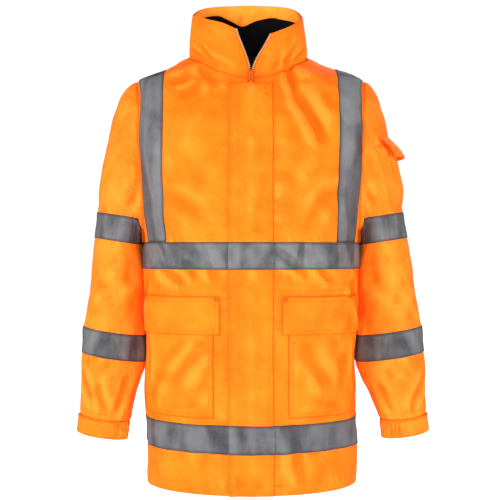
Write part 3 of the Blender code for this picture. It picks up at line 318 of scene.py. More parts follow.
TABLE_V = np.linspace(0, RISE[-1], 760)
SHARES = np.linspace(0, 1, 401)
_x, _y, _s = half_section(height(TABLE_V))
GIRTH = _s[:, -1]
TABLE = np.stack(
    [[np.interp(SHARES, row / row[-1], line[k]) for k, row in enumerate(_s)] for line in (_x, _y)], axis=-1
)


def girth_at_turn(z, turn):
    """Girth from the centre front to an angle from the side line, at each height."""
    _, _, s = half_section(z)
    turn = np.broadcast_to(turn, len(s))
    return np.array([np.interp(turn[k], TURNS, s[k]) for k in range(len(s))])


def girth_at_x(z, far, front=True):
    """Girth from the centre front to a distance from the centre plane, on the front or on the back."""
    x, _, s = half_section(z)
    far = np.broadcast_to(far, len(s))
    half = len(TURNS) // 2
    if front:
        return np.array([np.interp(far[k], x[k, : half + 1], s[k, : half + 1]) for k in range(len(s))])
    return np.array([np.interp(-far[k], -x[k, half:], s[k, half:]) for k in range(len(s))])


def bare_point(s, v):
    """Points of the plain surface by girth, above zero on the wearer's left, and height up the cloth."""
    s, v = np.broadcast_arrays(np.asarray(s, float), np.asarray(v, float))
    row = np.clip(v / TABLE_V[-1], 0, 1) * (len(TABLE_V) - 1)
    r = np.minimum(row.astype(int), len(TABLE_V) - 2)
    fr = (row - r)[..., None]
    whole = GIRTH[r] * (1 - fr[..., 0]) + GIRTH[r + 1] * fr[..., 0]
    share = np.abs(s) / whole
    turned = share > 1
    share = np.where(turned, 2 - share, share)
    col = np.clip(share, 0, 1) * (len(SHARES) - 1)
    c = np.minimum(col.astype(int), len(SHARES) - 2)
    fc = (col - c)[..., None]
    xy = (TABLE[r, c] * (1 - fc) + TABLE[r, c + 1] * fc) * (1 - fr)
    xy = xy + (TABLE[r + 1, c] * (1 - fc) + TABLE[r + 1, c + 1] * fc) * fr
    x = xy[..., 0] * np.where(s < 0, -1.0, 1.0) * np.where(turned, -1.0, 1.0)
    return np.stack([x, xy[..., 1], height(v)], axis=-1)


def whole_girth(v):
    return np.interp(v, TABLE_V, GIRTH)


def bare_normal(s, v):
    e = 0.0016
    around = bare_point(s + e, v) - bare_point(s - e, v)
    low, high = np.maximum(v - e, 0), np.minimum(v + e, RISE[-1])
    share = s / whole_girth(v)
    upward = bare_point(share * whole_girth(high), high) - bare_point(share * whole_girth(low), low)
    return unit(np.cross(around, upward))


# Creases of the panels, seen square on: a trough has a negative depth, and a soft ridge lies beside it.
# In mm: a0, z0, a1, z1, bow, width, depth; a runs along x on the front and back, and along y at the sides
BODY_CREASES = {
    "front": (
        (72, 0, 88, -74, 4, 8, -3.4), (88, -66, 128, -146, -6, 12, -6.2),
        (102, -58, 141, -112, 4, 13, 3), (100, -160, 52, -232, 4, 20, -2),
        (150, -110, 118, -215, -6, 22, -2.2), (62, -250, 118, -318, 6, 18, -2),
        (170, -235, 96, -300, 8, 16, -2.2), (45, -345, 78, -375, 0, 8, -2.2),
        (58, -352, 100, -392, 0, 7, -2), (-60, -80, -66, -190, 4, 18, -1.6),
        (-82, -120, -120, -230, -5, 22, -2.2), (-142, -150, -70, -240, 8, 20, -1.8),
        (-160, -245, -86, -300, -6, 16, -2.2), (-150, -25, -86, -6, 3, 12, 3.4),
        (-140, -50, -98, -32, 3, 9, 2.6), (-92, -10, -60, -46, 0, 10, -2.2),
        (80, -10, 112, -30, 2, 10, 2.4), (-170, -368, -120, -402, 4, 8, -2.6),
        (-120, -366, -98, -396, 0, 7, -2), (-80, -368, -62, -400, 0, 7, -1.8),
        (120, -370, 150, -404, 3, 8, -2.2), (-66, -660, -96, -762, 4, 16, -2),
        (-140, -655, -120, -770, -4, 18, -2.2), (78, -655, 94, -768, 4, 13, -2.6),
        (106, -660, 128, -770, -4, 16, -2), (150, -650, 162, -765, 4, 18, -2.2),
    ),
    "back": (
        (-60, -30, -130, -130, 6, 18, -4), (75, -20, 140, -110, -6, 16, -3.6),
        (-100, -140, -60, -270, 10, 24, -4), (112, -150, 60, -300, -8, 22, -3.6),
        (10, -110, -20, -240, 8, 26, -2.6), (-160, -240, -90, -320, 6, 16, -3.4),
        (165, -230, 100, -322, -6, 15, -3.4), (-120, -385, -80, -520, 8, 22, -3.6),
        (-20, -386, -46, -480, 4, 18, -2.8), (50, -388, 82, -540, -8, 24, -3.6),
        (130, -384, 108, -450, 4, 14, -3), (150, -470, 120, -640, 8, 26, -3.4),
        (-150, -500, -138, -650, -6, 22, -3), (4, -520, 22, -650, 5, 24, -2.4),
        (-90, -700, -112, -775, 4, 16, -2.4), (70, -700, 88, -775, -4, 18, -2.6),
        (-20, -705, -14, -776, 3, 14, -2),
    ),
    "left": (
        (-40, -330, -20, -240, 4, 14, -3), (50, -400, 20, -500, 6, 16, -3.4),
        (-60, -400, -30, -470, -4, 14, -3), (60, -560, 86, -690, 5, 20, -3),
        (-10, -660, 10, -770, 4, 16, -2.6),
    ),
    "right": (
        (-34, -330, -50, -250, 4, 14, -3), (40, -395, 70, -520, 6, 18, -3.4),
        (-50, -390, -10, -460, 4, 13, -3), (46, -560, 20, -680, 6, 18, -3),
        (-30, -660, -10, -770, -4, 15, -2.6),
    ),
}
# Folds that the solids have too: x0, z0, x1, z1, width, depth
SOLID_FOLDS = (
    (0.09, -0.069, 0.127, -0.142, 0.016, -0.005), (0.031, -0.216, 0.008, -0.306, 0.017, -0.004),
    (-0.15, -0.024, -0.085, -0.005, 0.014, 0.003),
)
# Seams and edges that the cloth beside them puckers along, at a height or down a girth:
# way, at, start, end, depth, pitch
PUCKERS = (
    ("level", -0.331, 0.045, 0.56, 0.0009, 0.019), ("level", -0.38, 0.045, 0.56, 0.0012, 0.016),
    ("level", -0.408, 0.06, 0.25, 0.0008, 0.014), ("level", -0.6565, 0.045, 0.56, 0.0005, 0.021),
    ("level", -0.708, 0.045, 0.56, 0.0006, 0.018), ("level", -0.764, 0.01, 0.56, 0.0007, 0.017),
    ("down", 0.04, -0.77, -0.06, 0.0005, 0.02),
)
CREASE_GAIN = 1.9


def fold_shape(ax, az, bx, bz, bow, width, ends=(0.18, 0.45, 0.55), beside=1.2):
    """A crease that runs to (bx, bz), with a ridge beside it, at (ax, az) from its start."""
    length = math.hypot(bx, bz)
    t = (ax * bx + az * bz) / length**2
    off = (ax * bz - az * bx) / length - 4 * bow * t * (1 - t)
    past, first, last = ends
    along = smooth((t + past) / first) * smooth((1 + past - t) / last)
    trough, ridge = off / width, (off - 1.9 * width) / (beside * width)
    return along * (np.exp(-(trough**2)) - 0.45 * np.exp(-(ridge**2)))


def crease_depth(points, table):
    """How far a table of creases pushes each point out, by its place seen square on from each face."""
    out = np.zeros(points.shape[:-1])
    facing = {
        "front": np.clip(-points[..., 1] / 0.03 - 0.2, 0, 1),
        "back": np.clip(points[..., 1] / 0.03 - 0.2, 0, 1),
        "left": smooth((points[..., 0] - 0.12) / 0.05),
        "right": smooth((-points[..., 0] - 0.12) / 0.05),
    }
    for face, rows in table.items():
        a = points[..., 0] if face in ("front", "back") else points[..., 1]
        for row in rows:
            a0, z0, a1, z1, bow, width, depth = np.array(row) / 1000
            shape = fold_shape(a - a0, points[..., 2] - z0, a1 - a0, z1 - z0, bow, width)
            out += CREASE_GAIN * depth * shape * facing[face]
    return out


# A few slow waves at uneven lengths that keep the cloth from looking drawn tight:
# across, up, phase, depth
SLOW_WAVES = (
    (38.0, 14.0, 0.3, 0.00055), (-27.0, 31.0, 1.7, 0.0005), (61.0, -23.0, 4.0, 0.00034),
    (19.0, -52.0, 2.6, 0.00036), (-83.0, -37.0, 5.2, 0.00022), (97.0, 71.0, 0.9, 0.00016),
    (-131.0, 58.0, 3.3, 0.00012), (45.0, 149.0, 2.2, 0.0001),
)


def drift(a, b):
    """The slow waves at two lengths along the cloth."""
    out = np.zeros(np.broadcast(a, b).shape)
    for across, up, phase, depth in SLOW_WAVES:
        out += depth * np.sin(across * a + up * b + phase + 1.3 * np.sin(0.37 * up * a + 0.21 * across * b))
    return out


def relief(s, v, points):
    """Everything that the body's cloth does beyond its plain surface."""
    z = points[..., 2]
    out = crease_depth(points, BODY_CREASES)
    for x0, z0, x1, z1, width, depth in SOLID_FOLDS:
        a, ab = np.array([x0, z0]), np.array([x1 - x0, z1 - z0])
        p = points[..., [0, 2]] - a
        t = np.clip(p @ ab / (ab @ ab), 0, 1)
        away = np.linalg.norm(p - t[..., None] * ab, axis=-1)
        out += depth * np.exp(-((away / width) ** 2)) * np.clip(-points[..., 1] / 0.03 - 0.2, 0, 1)
    slow = drift(points[..., 0] + 0.62 * points[..., 1], v - 0.35 * points[..., 1])
    out += 2.1 * slow * smooth((z + 0.79) / 0.03) * smooth((0.045 - z) / 0.05)
    side, whole = np.abs(s), whole_girth(v)
    for way, at, start, end, depth, pitch in PUCKERS:
        if way == "level":
            off, run = z - at, s
            within = smooth((side - start) / 0.01) * smooth((np.minimum(end, whole) - side) / 0.03)
        else:
            off, run = side - at, z
            within = smooth((run - start) / 0.01) * smooth((end - run) / 0.01)
        ripple = np.sin(2 * math.pi * (run / pitch + 0.45 * np.sin(run * 23 + at * 900) + off * 14))
        strong = 0.55 + 0.45 * np.sin(run * 31 + at * 400)
        out += depth * ripple * strong * np.exp(-np.abs(off) / 0.011) * within
    return out


def on_body(s, v, lift=0.0):
    """Points on the creased cloth, moved out by lift, and the way out there."""
    s, v = np.broadcast_arrays(np.asarray(s, float), np.asarray(v, float))
    s = np.where(np.abs(s) > whole_girth(v), s - np.sign(s) * 2 * whole_girth(v), s)
    base, out = bare_point(s, v), bare_normal(s, v)
    skin = base + out * relief(s, v, base)[..., None]
    low = smooth((-0.56 - skin[..., 2]) / 0.15)
    skin[..., 0] += HEM_LEAN * low
    high = np.clip((skin[..., 2] + 0.06) / 0.07, 0, 1) * np.clip((0.19 - np.abs(skin[..., 0])) / 0.08, 0, 1)
    skin[..., 0] -= NECK_LEAN * high**2 * (3 - 2 * high) * np.clip((skin[..., 1] + 0.092) / 0.05, 0, 1)
    return skin + out * np.asarray(lift)[..., None], out


def evenly(line, step):
    """A densely drawn line, resampled evenly at about the step."""
    line = np.asarray(line, float)
    run = lengths(line)
    to = np.linspace(0, run[-1], max(1, round(run[-1] / step)) + 1)
    return np.stack([np.interp(to, run, line[:, k]) for k in range(line.shape[1])], axis=1)


def spread(line, at):
    """A line of (girth, rise) at shares of its length on the plain surface."""
    run = lengths(bare_point(line[:, 0], line[:, 1]))
    return np.stack([np.interp(at * run[-1], run, line[:, k]) for k in (0, 1)], axis=1)


def within_ring(points, ring):
    found = np.zeros(len(points), bool)
    for (x0, y0), (x1, y1) in zip(ring, np.roll(ring, -1, axis=0)):
        crosses = (y0 > points[:, 1]) != (y1 > points[:, 1])
        if crosses.any():
            found[crosses] ^= points[crosses, 0] < x0 + (points[crosses, 1] - y0) * (x1 - x0) / (y1 - y0)
    return found


ROW_SHARE = 0.866  # height of a net's triangle, as a share of its side


def cut(outline, step=CLOTH_STEP):
    """A panel cut to its outline on a net of small triangles: its points, faces and each point's inset."""
    outline = np.asarray(outline, float)
    n = len(outline)
    edges = [(k, (k + 1) % n) for k in range(n)]
    tree = kdtree.KDTree(n)
    for k, p in enumerate(outline):
        tree.insert((p[0], p[1], 0), k)
    tree.balance()
    low, high = outline.min(axis=0), outline.max(axis=0)
    rows = []
    for i in range(int((high[1] - low[1]) / (step * ROW_SHARE)) + 2):
        across = np.arange(low[0] + 0.5 * (i % 2) * step, high[0], step)
        rows.append(laid(across, low[1] + i * step * ROW_SHARE))
    loose = np.concatenate(rows)
    loose = loose[within_ring(loose, outline)]
    far = np.array([tree.find((p[0], p[1], 0))[2] for p in loose])
    loose = loose[far > 0.55 * step]
    points = np.concatenate([outline, loose])
    made = delaunay_2d_cdt([tuple(p) for p in points], edges, [], 1, 1e-7)
    flat = np.array([tuple(p) for p in made[0]])
    faces = np.array([f for f in made[2] if len(f) == 3])
    a, b, c = (flat[faces[:, k]] for k in range(3))
    turned = (b - a)[:, 0] * (c - a)[:, 1] - (b - a)[:, 1] * (c - a)[:, 0] < 0
    faces[turned] = faces[turned][:, ::-1]
    border = set(k for k, origin in enumerate(made[3]) if origin and origin[0] < n)
    inset = np.array([0.0 if k in border else tree.find((p[0], p[1], 0))[2] for k, p in enumerate(flat)])
    return flat, faces, inset


SMOOTHINGS = 18


def hollows(points, faces, way):
    """How far each point lies below the cloth a centimetre or two round it: ridges are below zero."""
    n, wide = len(points), faces.shape[1]
    a = np.concatenate([faces[:, k] for k in range(wide)])
    b = np.concatenate([faces[:, (k + 1) % wide] for k in range(wide)])
    count = np.maximum(np.bincount(a, minlength=n) + np.bincount(b, minlength=n), 1)[:, None]
    means = [points]
    for _ in range(2 * SMOOTHINGS):
        last = means[-1]
        total = [np.bincount(a, last[b, k], n) + np.bincount(b, last[a, k], n) for k in range(3)]
        means.append(np.stack(total, axis=1) / count)
    return ((2 * means[SMOOTHINGS] - points - means[-1]) * way).sum(axis=1)


def mark_points(mesh, name, values):
    """A number for each point of a mesh, which its finish reads."""
    mark = mesh.attributes.new(name, "FLOAT", "POINT")
    mark.data.foreach_set("value", values.astype(np.float32))


def sew(name, outer, inner, faces, flat, inset, finish, lining=None, tuck=0.0007):
    """A cloth wall between two skins that share their faces; its edges are turned in a little."""
    n = len(outer)
    faces = np.asarray(faces)
    wide = faces.shape[1]
    turn = np.concatenate([faces[:, [k, (k + 1) % wide]] for k in range(wide)])
    key, back = turn[:, 0] * n + turn[:, 1], turn[:, 1] * n + turn[:, 0]
    rim = turn[~np.isin(key, back)]
    way = unit(outer - inner)
    edge = np.unique(rim)
    outer = outer.copy()
    outer[edge] -= way[edge] * tuck
    verts = np.concatenate([outer, inner])
    a, b = rim[:, 0], rim[:, 1]
    quads = np.stack([b, a, a + n, b + n], axis=1)
    mesh = bpy.data.meshes.new(name)
    mesh.from_pydata(verts, [], faces.tolist() + (faces[:, ::-1] + n).tolist() + quads.tolist())
    mesh.materials.append(finish)
    if lining is not None:
        mesh.materials.append(lining)
        slots = np.zeros(len(mesh.polygons), np.int32)
        slots[len(faces) : 2 * len(faces)] = 1
        mesh.polygons.foreach_set("material_index", slots)
    mesh.update()
    both = np.concatenate([flat, flat])
    corners = np.empty(len(mesh.loops), np.int32)
    mesh.loops.foreach_get("vertex_index", corners)
    layer = mesh.uv_layers.new(name="cloth")
    layer.data.foreach_set("uv", both[corners].astype(np.float32).ravel())
    # The finishes read the hollow mark to paint shade in the cloth's hollows and light on its ridges
    depth = hollows(outer, faces, way) * smooth(inset / 0.02)
    mark_points(mesh, "inset", np.concatenate([inset, inset]))
    mark_points(mesh, "hollow", np.concatenate([depth, -depth]))
    mesh.polygons.foreach_set("use_smooth", np.ones(len(mesh.polygons), bool))
    mesh.set_sharp_from_angle(angle=math.radians(62))
    return add(name, mesh)


def area_of(points, faces):
    p = points.reshape(-1, 3)[np.asarray(faces)]
    whole = np.linalg.norm(np.cross(p[:, 1] - p[:, 0], p[:, 2] - p[:, 0]), axis=1).sum() / 2
    if p.shape[1] == 4:
        whole += np.linalg.norm(np.cross(p[:, 2] - p[:, 0], p[:, 3] - p[:, 0]), axis=1).sum() / 2
    return float(whole)


def wear(piece, slot, *node_names):
    """A finished piece's body and the solid that it stands for; its finish is not used."""
    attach(piece, "jacket")
    for node_name in node_names:
        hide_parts(node_name)


def declare(piece, node_name, size, area, slot="orange_cloth"):
    """A finished cloth piece put on the body; its cut's flat size and area, which is never quite the whole
    box, are worked out but kept nowhere.
    """
    wear(piece, slot, node_name)
    width, length = map(float, size)
    area = round(min(float(area), 0.999 * width * length), 6)


def mirrored(outline):
    return (outline * (-1, 1))[::-1]


# Orange cloth: a plain weave under its coating, creased finely all over; its constant orange glow is
# painted light, which stands in for the fluorescent dye and keeps its shade bright
DEEP, BRIGHT = (0.97, 0.125, 0.003, 1), (1.0, 0.222, 0.012, 1)
WEAVE = {"Scale": 250.0, "Distortion": 1.2, "Detail": 1.0, "Detail Scale": 2.0}


def woven_orange(name, deep=DEEP, bright=BRIGHT, crinkle=1.0, edge_shadow=0.72):
    material, tree, shader = finish_of(name, 0.7, glow=0.12, specular=0.05, glow_colour=(1.0, 0.13, 0.0, 1))
    place, cloth, inset, fold = tree.place(), tree.cloth(), tree.mark("inset"), tree.mark("hollow")
    broad, fine = tree.noise(place, 14.0, 3.0, 0.55), tree.noise(place, 130.0, 4.0, 0.6)
    creases = tree.noise(place, 62.0, 3.0, twist=0.7)
    threads = [
        tree.node("ShaderNodeTexWave", {"bands_direction": way, "wave_profile": "SIN"},
                  {"Vector": cloth, **WEAVE}, out=1)
        for way in ("X", "Y")
    ]
    weave = threads[0] * threads[1]
    tone = broad.between(0.30, 0.70) * 0.55 + fine.between(0.25, 0.75) * 0.30 + weave * 0.15
    colour = tone.mixed(deep, bright)
    # Painted shade and light: the cloth is painted a deeper red in the hollows of its creases and a lighter
    # orange on their ridges
    for share, tint in (
        (fold.between(0.00008, 0.0011) * 0.52, (0.98, 0.100, 0.001, 1)),
        ((fold * -1.0).between(0.00010, 0.0011) * 0.35, (1.0, 0.330, 0.040, 1)),
        # Painted shadow along every edge and seam: a deeper band, and a thin dark line at the edge itself,
        # as strong as the finish's last argument says
        ((1.0 - inset.between(0.0004, 0.0026)) * 0.40, deep),
        ((1.0 - inset.between(0.0003, 0.0014)) * edge_shadow, (0.30, 0.026, 0.001, 1)),
    ):
        colour = share.mixed(colour, tint)
    feed(tree, shader, Base_Color=colour, Roughness=0.52 + 0.20 * fine,
         Normal=tree.bumps((0.55 * crinkle, 0.0036, creases), (0.30, 0.0010, fine), (0.25, 0.0002, weave)))
    return material


# Lining: black taffeta quilted in diamonds over thin wadding
lining, tree, shader = finish_of("quilted_lining", 0.5, sheen=0.05, specular=0.25)
QUILT_ROWS = 14.0  # lines of quilting to a metre, each way
a, b = (tree.node("ShaderNodeSeparateXYZ", inputs={"Vector": tree.cloth()}, out=k) for k in (0, 1))
rows = [abs(tree.maths("FRACT", way * QUILT_ROWS) - 0.5).between(0.0, 0.34) for way in (a + b, a - b)]
puff, grain = rows[0] * rows[1], tree.noise(tree.place(), 900.0, 2.0)
# Painted light and shade: the lining is lighter where the quilting's bump is raised and darker where it is
# low; the grain varies at random
colour = (grain * 0.5 + puff * 0.4).mixed((0.002, 0.002, 0.0024, 1), (0.014, 0.014, 0.016, 1))
feed(tree, shader, Base_Color=colour, Roughness=0.42 + 0.2 * grain,
     Normal=tree.bumps((0.8, 0.006, puff), (0.3, 0.0004, grain)))

# The panels' finish paints a strong shadow line along its edges; the shell and sleeve finishes paint only a
# faint one
orange = woven_orange("orange_cloth")
shell_orange = woven_orange("shell_cloth", edge_shadow=0.12)
# The sleeves' cloth is the body's cloth painted brighter, painted light
lit_arm_orange = woven_orange("lit_arm_cloth", (0.98, 0.152, 0.006, 1), (1.0, 0.275, 0.024, 1), edge_shadow=0.12)

# Lines of the pattern, on the wearer's left
neck_turns = np.radians(np.linspace(-90, 90, 721))
neck_z = monotone(NECKLINE, np.degrees(neck_turns))[0]
neck_dense = np.stack([girth_at_turn(neck_z, neck_turns), neck_z], axis=1)
neck_solid = bare_point(neck_dense[:, 0], rise(neck_z))
first = int(np.argmax(neck_solid[:, 0] >= ZIP_HALF + GAP))
neck_dense = neck_dense[first:]
neck_dense[0, 0] = girth_at_x(neck_dense[:1, 1], ZIP_HALF + GAP)[0]
neck_turns = neck_turns[first:]
neck_line = laid(neck_dense[:, 0], rise(neck_dense[:, 1]))
to_point = int(np.searchsorted(neck_turns, 0.0))  # where the shoulder seam meets the neck

arm_lines = []
for back in (False, True):
    turn = np.linspace(0, math.pi, 361)
    z = ARM_MIDDLE_Z + ARM_HALF_Z * np.cos(turn)
    share = np.sin(turn) ** np.where(np.cos(turn) > 0, ARM_UPPER_POWER, ARM_LOWER_POWER)
    reach = math.radians(ARM_BACK_DEG if back else -ARM_FRONT_DEG) * share
    arm_lines.append(laid(girth_at_turn(z, reach), rise(z)))
arm_front, arm_back = arm_lines


def side_line(z0, z1):
    """The side seam, and the shoulder's, from one height to another."""
    z = np.linspace(z0, z1, 120)
    return laid(girth_at_turn(z, 0.0), rise(z))


def joined(*lines):
    """Lines with a point at each step of the cloth, one after another, without the last point of each."""
    return np.concatenate([evenly(line, CLOTH_STEP)[:-1] for line in lines])


SIDES = ((1, "left"), (-1, "right"))
point_z = neck_dense[to_point, 1]
hem_run = np.linspace(girth_at_x(np.array([HEM_Z]), ZIP_HALF + GAP)[0], girth_at_turn(HEM_Z, 0.0)[0], 60)
opening = np.linspace(HEM_Z, neck_dense[0, 1], 200)
front_outline = joined(
    laid(girth_at_x(opening, ZIP_HALF + GAP), rise(opening)), neck_line[: to_point + 1],
    side_line(point_z, ARM_TOP_Z), arm_front, side_line(ARM_BOTTOM_Z, HEM_Z),
    laid(hem_run[::-1], rise(HEM_Z)),
)
for side, name in SIDES:
    flat, faces, inset = cut(front_outline if side > 0 else mirrored(front_outline))
    outer, out = on_body(flat[:, 0], flat[:, 1])
    inner = outer - out * WALL
    piece = sew("front_%s_cloth" % name, outer, inner, faces, flat, inset, shell_orange, lining)
    size = flat.max(axis=0) - flat.min(axis=0)
    declare(piece, "front_" + name, size, area_of(bare_point(flat[:, 0], flat[:, 1]), faces))

# Back: one panel, laid out from the centre back
back_half = np.concatenate([
    joined(side_line(HEM_Z, ARM_BOTTOM_Z), arm_back[::-1], side_line(ARM_TOP_Z, point_z)),
    evenly(neck_line[to_point:], CLOTH_STEP),
])
back_half[:, 0] = whole_girth(back_half[:, 1]) - back_half[:, 0]
back_half[-1, 0] = 0.0
hem_half = np.linspace(0, back_half[0, 0], round(back_half[0, 0] / CLOTH_STEP) + 1)[1:-1]
hem_back = np.concatenate([-hem_half[::-1], [0], hem_half])
back_outline = np.concatenate([back_half, mirrored(back_half)[1:], laid(hem_back, rise(HEM_Z))])


def from_back(b, v):
    """Girth from the centre front of a point given by its signed distance from the centre back."""
    return np.where(b < 0, -1.0, 1.0) * (whole_girth(v) - np.abs(b))


flat, faces, inset = cut(back_outline)
girths = from_back(flat[:, 0], flat[:, 1])
outer, out = on_body(girths, flat[:, 1])
on_line = np.abs(flat[:, 0]) < 1e-6
out[on_line, 0] = 0.0
faces = faces[:, ::-1]
piece = sew("back_cloth", outer, outer - unit(out) * WALL, faces, flat, inset, shell_orange, lining)
size = flat.max(axis=0) - flat.min(axis=0)
declare(piece, "back", size, area_of(bare_point(girths, flat[:, 1]), faces))

# Sleeves: one piece each of the same cloth and lining, set into the armholes with a little ease; their
# cloth is painted brighter than the body's, as painted light.
# They hang in columns from the armhole to the cuff seam, with the creases that worn cloth takes.
ARM_TILT = math.radians(8.7)
ARM_LINE_X = 0.26  # the sleeve's middle, which the heights of its rings are measured at
SLEEVE_RINGS = {  # z, centre x, half width, centre y, half depth
    "right": (
        (-0.345, 0.256, 0.0467, 0.018, 0.083), (-0.4, 0.2571, 0.053, 0.024, 0.08),
        (-0.45, 0.261, 0.0546, 0.026, 0.077), (-0.505, 0.2613, 0.06, 0.024, 0.073),
        (-0.5555, 0.2629, 0.0616, 0.018, 0.068), (-0.585, 0.2674, 0.0573, 0.012, 0.065),
        (-0.61, 0.271, 0.0539, 0.006, 0.061), (-0.635, 0.2737, 0.0504, -0.002, 0.057),
        (-0.662, 0.2767, 0.0467, -0.01, 0.051),
    ),
    "left": (
        (-0.345, 0.2566, 0.0472, 0.018, 0.083), (-0.4, 0.2593, 0.0551, 0.024, 0.08),
        (-0.45, 0.2642, 0.0577, 0.026, 0.077), (-0.505, 0.2644, 0.0631, 0.024, 0.073),
        (-0.5555, 0.2667, 0.0654, 0.018, 0.068), (-0.585, 0.2722, 0.0614, 0.012, 0.065),
        (-0.61, 0.2781, 0.0552, 0.006, 0.061), (-0.635, 0.2828, 0.0494, -0.002, 0.057),
        (-0.662, 0.2884, 0.0427, -0.01, 0.051),
    ),
}
CAP_REACH = {"right": 0.155, "left": 0.105}
COLUMNS = 144
CAP_ROWS, TUBE_ROWS = 78, 66
DEGREE = 0.00115  # metres of cloth to a degree round the sleeve
COLUMN = 360 / COLUMNS * DEGREE
# Creases by angle from the outer side (the front is at -90, the back at 90) and by height:
# angle0, z0, angle1, z1, bow, width, depth, in degrees and mm
CREASE_UNITS = (1, 1000, 1, 1000, 1000, 1000, 1000)
SLEEVE_CREASES = {
    "right": (
        (-20, -572, -62, -628, 4, 10, -4.6), (-68, -590, -96, -650, -3, 10, -5),
        (-126, -575, -117, -656, 3, 10, -5.2), (-150, -470, -118, -560, 6, 14, -2.6),
        (-60, -400, -100, -470, 6, 18, -3), (-30, -360, -74, -420, -6, 18, -2.6),
        (-132, -340, -108, -420, 6, 15, -3), (-100, -90, -100, -262, 4, 16, 3.6),
        (-76, -70, -82, -240, -6, 20, -2.6), (-140, -190, -122, -265, 3, 11, -3),
        (-40, -110, -58, -250, 6, 24, -2.4), (20, -100, 46, -230, 6, 22, -3),
        (96, -120, 74, -250, -6, 20, -3.6), (130, -340, 92, -420, 8, 16, -4),
        (60, -360, 24, -440, -6, 18, -3.4), (112, -450, 70, -492, 4, 14, -3),
        (80, -570, 110, -650, 4, 12, -4.4), (36, -580, 60, -648, -4, 11, -4),
        (150, -560, 166, -640, 3, 12, -3.4),
    ),
    "left": (
        (-32, -586, -75, -652, 4, 10, -5), (-14, -599, -34, -636, -2, 8, -3.8),
        (-125, -592, -118, -656, 3, 10, -4), (-96, -560, -104, -600, 3, 12, -2.2),
        (-150, -460, -116, -552, -6, 14, -2.8), (-58, -390, -102, -462, -6, 18, -3),
        (-34, -430, -60, -488, 4, 15, -2.4), (-134, -345, -104, -430, 6, 15, -3.2),
        (-112, -80, -120, -250, 4, 15, 2.6), (-132, -200, -112, -270, 3, 11, -2.8),
        (-92, -80, -100, -180, -4, 18, -2.2), (96, -110, 70, -250, 6, 20, -3.6),
        (60, -90, 50, -180, 6, 22, -2.6), (132, -345, 90, -430, -8, 16, -4),
        (56, -350, 22, -420, 6, 18, -3.4), (108, -440, 74, -490, 4, 14, -3),
        (84, -566, 112, -650, -4, 12, -4.4), (30, -574, 56, -648, 4, 11, -4),
    ),
}


def ring_point(table, drop, turn):
    """Points of rings square to the arm, by drop and angle from the outer side, for x above zero."""
    z = (ARM_LINE_X * math.sin(ARM_TILT) - drop) / math.cos(ARM_TILT)
    cx, hw, cy, hd = monotone(table, z)
    cz = (cx * math.sin(ARM_TILT) - drop) / math.cos(ARM_TILT)
    u, w = np.cos(turn), np.sin(turn)
    r = (np.abs(u) ** 2.2 + np.abs(w) ** 2.2) ** (-1 / 2.2)
    out, ahead = hw * r * u, hd * r * w
    return np.stack([cx + out * math.cos(ARM_TILT), cy + ahead, cz + out * math.sin(ARM_TILT)], axis=-1)


def drop_of(z):
    """Distance down the arm of the ring that passes a height at the sleeve's middle."""
    return ARM_LINE_X * math.sin(ARM_TILT) - z * math.cos(ARM_TILT)


def tube_normals(grid):
    """Outward normals of a grid of (rings, columns) round a tube."""
    out = unit(np.cross(np.roll(grid, -1, axis=1) - np.roll(grid, 1, axis=1), np.gradient(grid, axis=0)))
    if ((out[-1] * (grid[-1] - grid[-1].mean(axis=0))).sum(axis=-1) < 0).mean() > 0.5:
        out = -out
    return out


def grid_quads(rows, columns, closed=False):
    r, c = np.meshgrid(np.arange(rows - 1), np.arange(columns if closed else columns - 1), indexing="ij")
    a, b = r * columns + c, r * columns + (c + 1) % columns
    return np.stack([a, b, b + columns, a + columns], axis=-1).reshape(-1, 4)


def facing_out(points, faces, out):
    """The faces turned so that their fronts look along the normals given."""
    p = points[faces[:, :3]]
    way = np.cross(p[:, 1] - p[:, 0], p[:, 2] - p[:, 0])
    return faces if (way * out[faces[:, 0]]).sum() > 0 else faces[:, ::-1]


def sew_grid(name, outer, inner, flat, finish, lining=None, closed=False, tuck=0.0007, ends=True):
    """A cloth wall from grids of (rows, columns, 3), marked with the distance from its free edges."""
    rows, columns = outer.shape[:2]
    fall = lengths(outer)
    inset = np.minimum(fall, fall[-1] - fall)
    if ends and not closed:
        run = lengths(outer, 1)
        inset = np.minimum(inset, np.minimum(run, run[:, -1:] - run))
    a, b = outer.reshape(-1, 3), inner.reshape(-1, 3)
    faces = facing_out(a, grid_quads(rows, columns, closed), unit(a - b))
    return sew(name, a, b, faces, flat.reshape(-1, 2), inset.ravel(), finish, lining, tuck), faces


def stand_off(name, grid, out, near, wall, cloth, finish, side=1, **more):
    """A cloth wall that stands near off a grid of points, on the wearer's left or mirrored."""
    outer, inner = (np.multiply(grid + out * far, (side, 1, 1)) for far in (near + wall, near))
    return sew_grid(name, outer, inner, cloth, finish, **more)


def girth_of(rings):
    """The length round closed rings of points."""
    return np.linalg.norm(np.roll(rings, -1, axis=-2) - rings, axis=-1).sum(axis=-1)


def span(grid, axis):
    """The longest run of a grid of points along an axis."""
    return np.linalg.norm(np.diff(grid, axis=axis), axis=-1).sum(axis=axis).max()


def on_left(line, side):
    """Points and normals of the body on either side of the wearer, both brought to x above zero."""
    points, out = on_body(line[:, 0] * side, line[:, 1])
    return points * (side, 1, 1), out * (side, 1, 1)


def arm_edge(side):
    """The armhole's edge on the creased body, from the shoulder down the front and up the back."""
    front, back = (spread(line, np.linspace(0, 1, COLUMNS // 2 + 1)) for line in (arm_front, arm_back))
    return on_left(np.concatenate([front, back[::-1][1:-1]]), side)


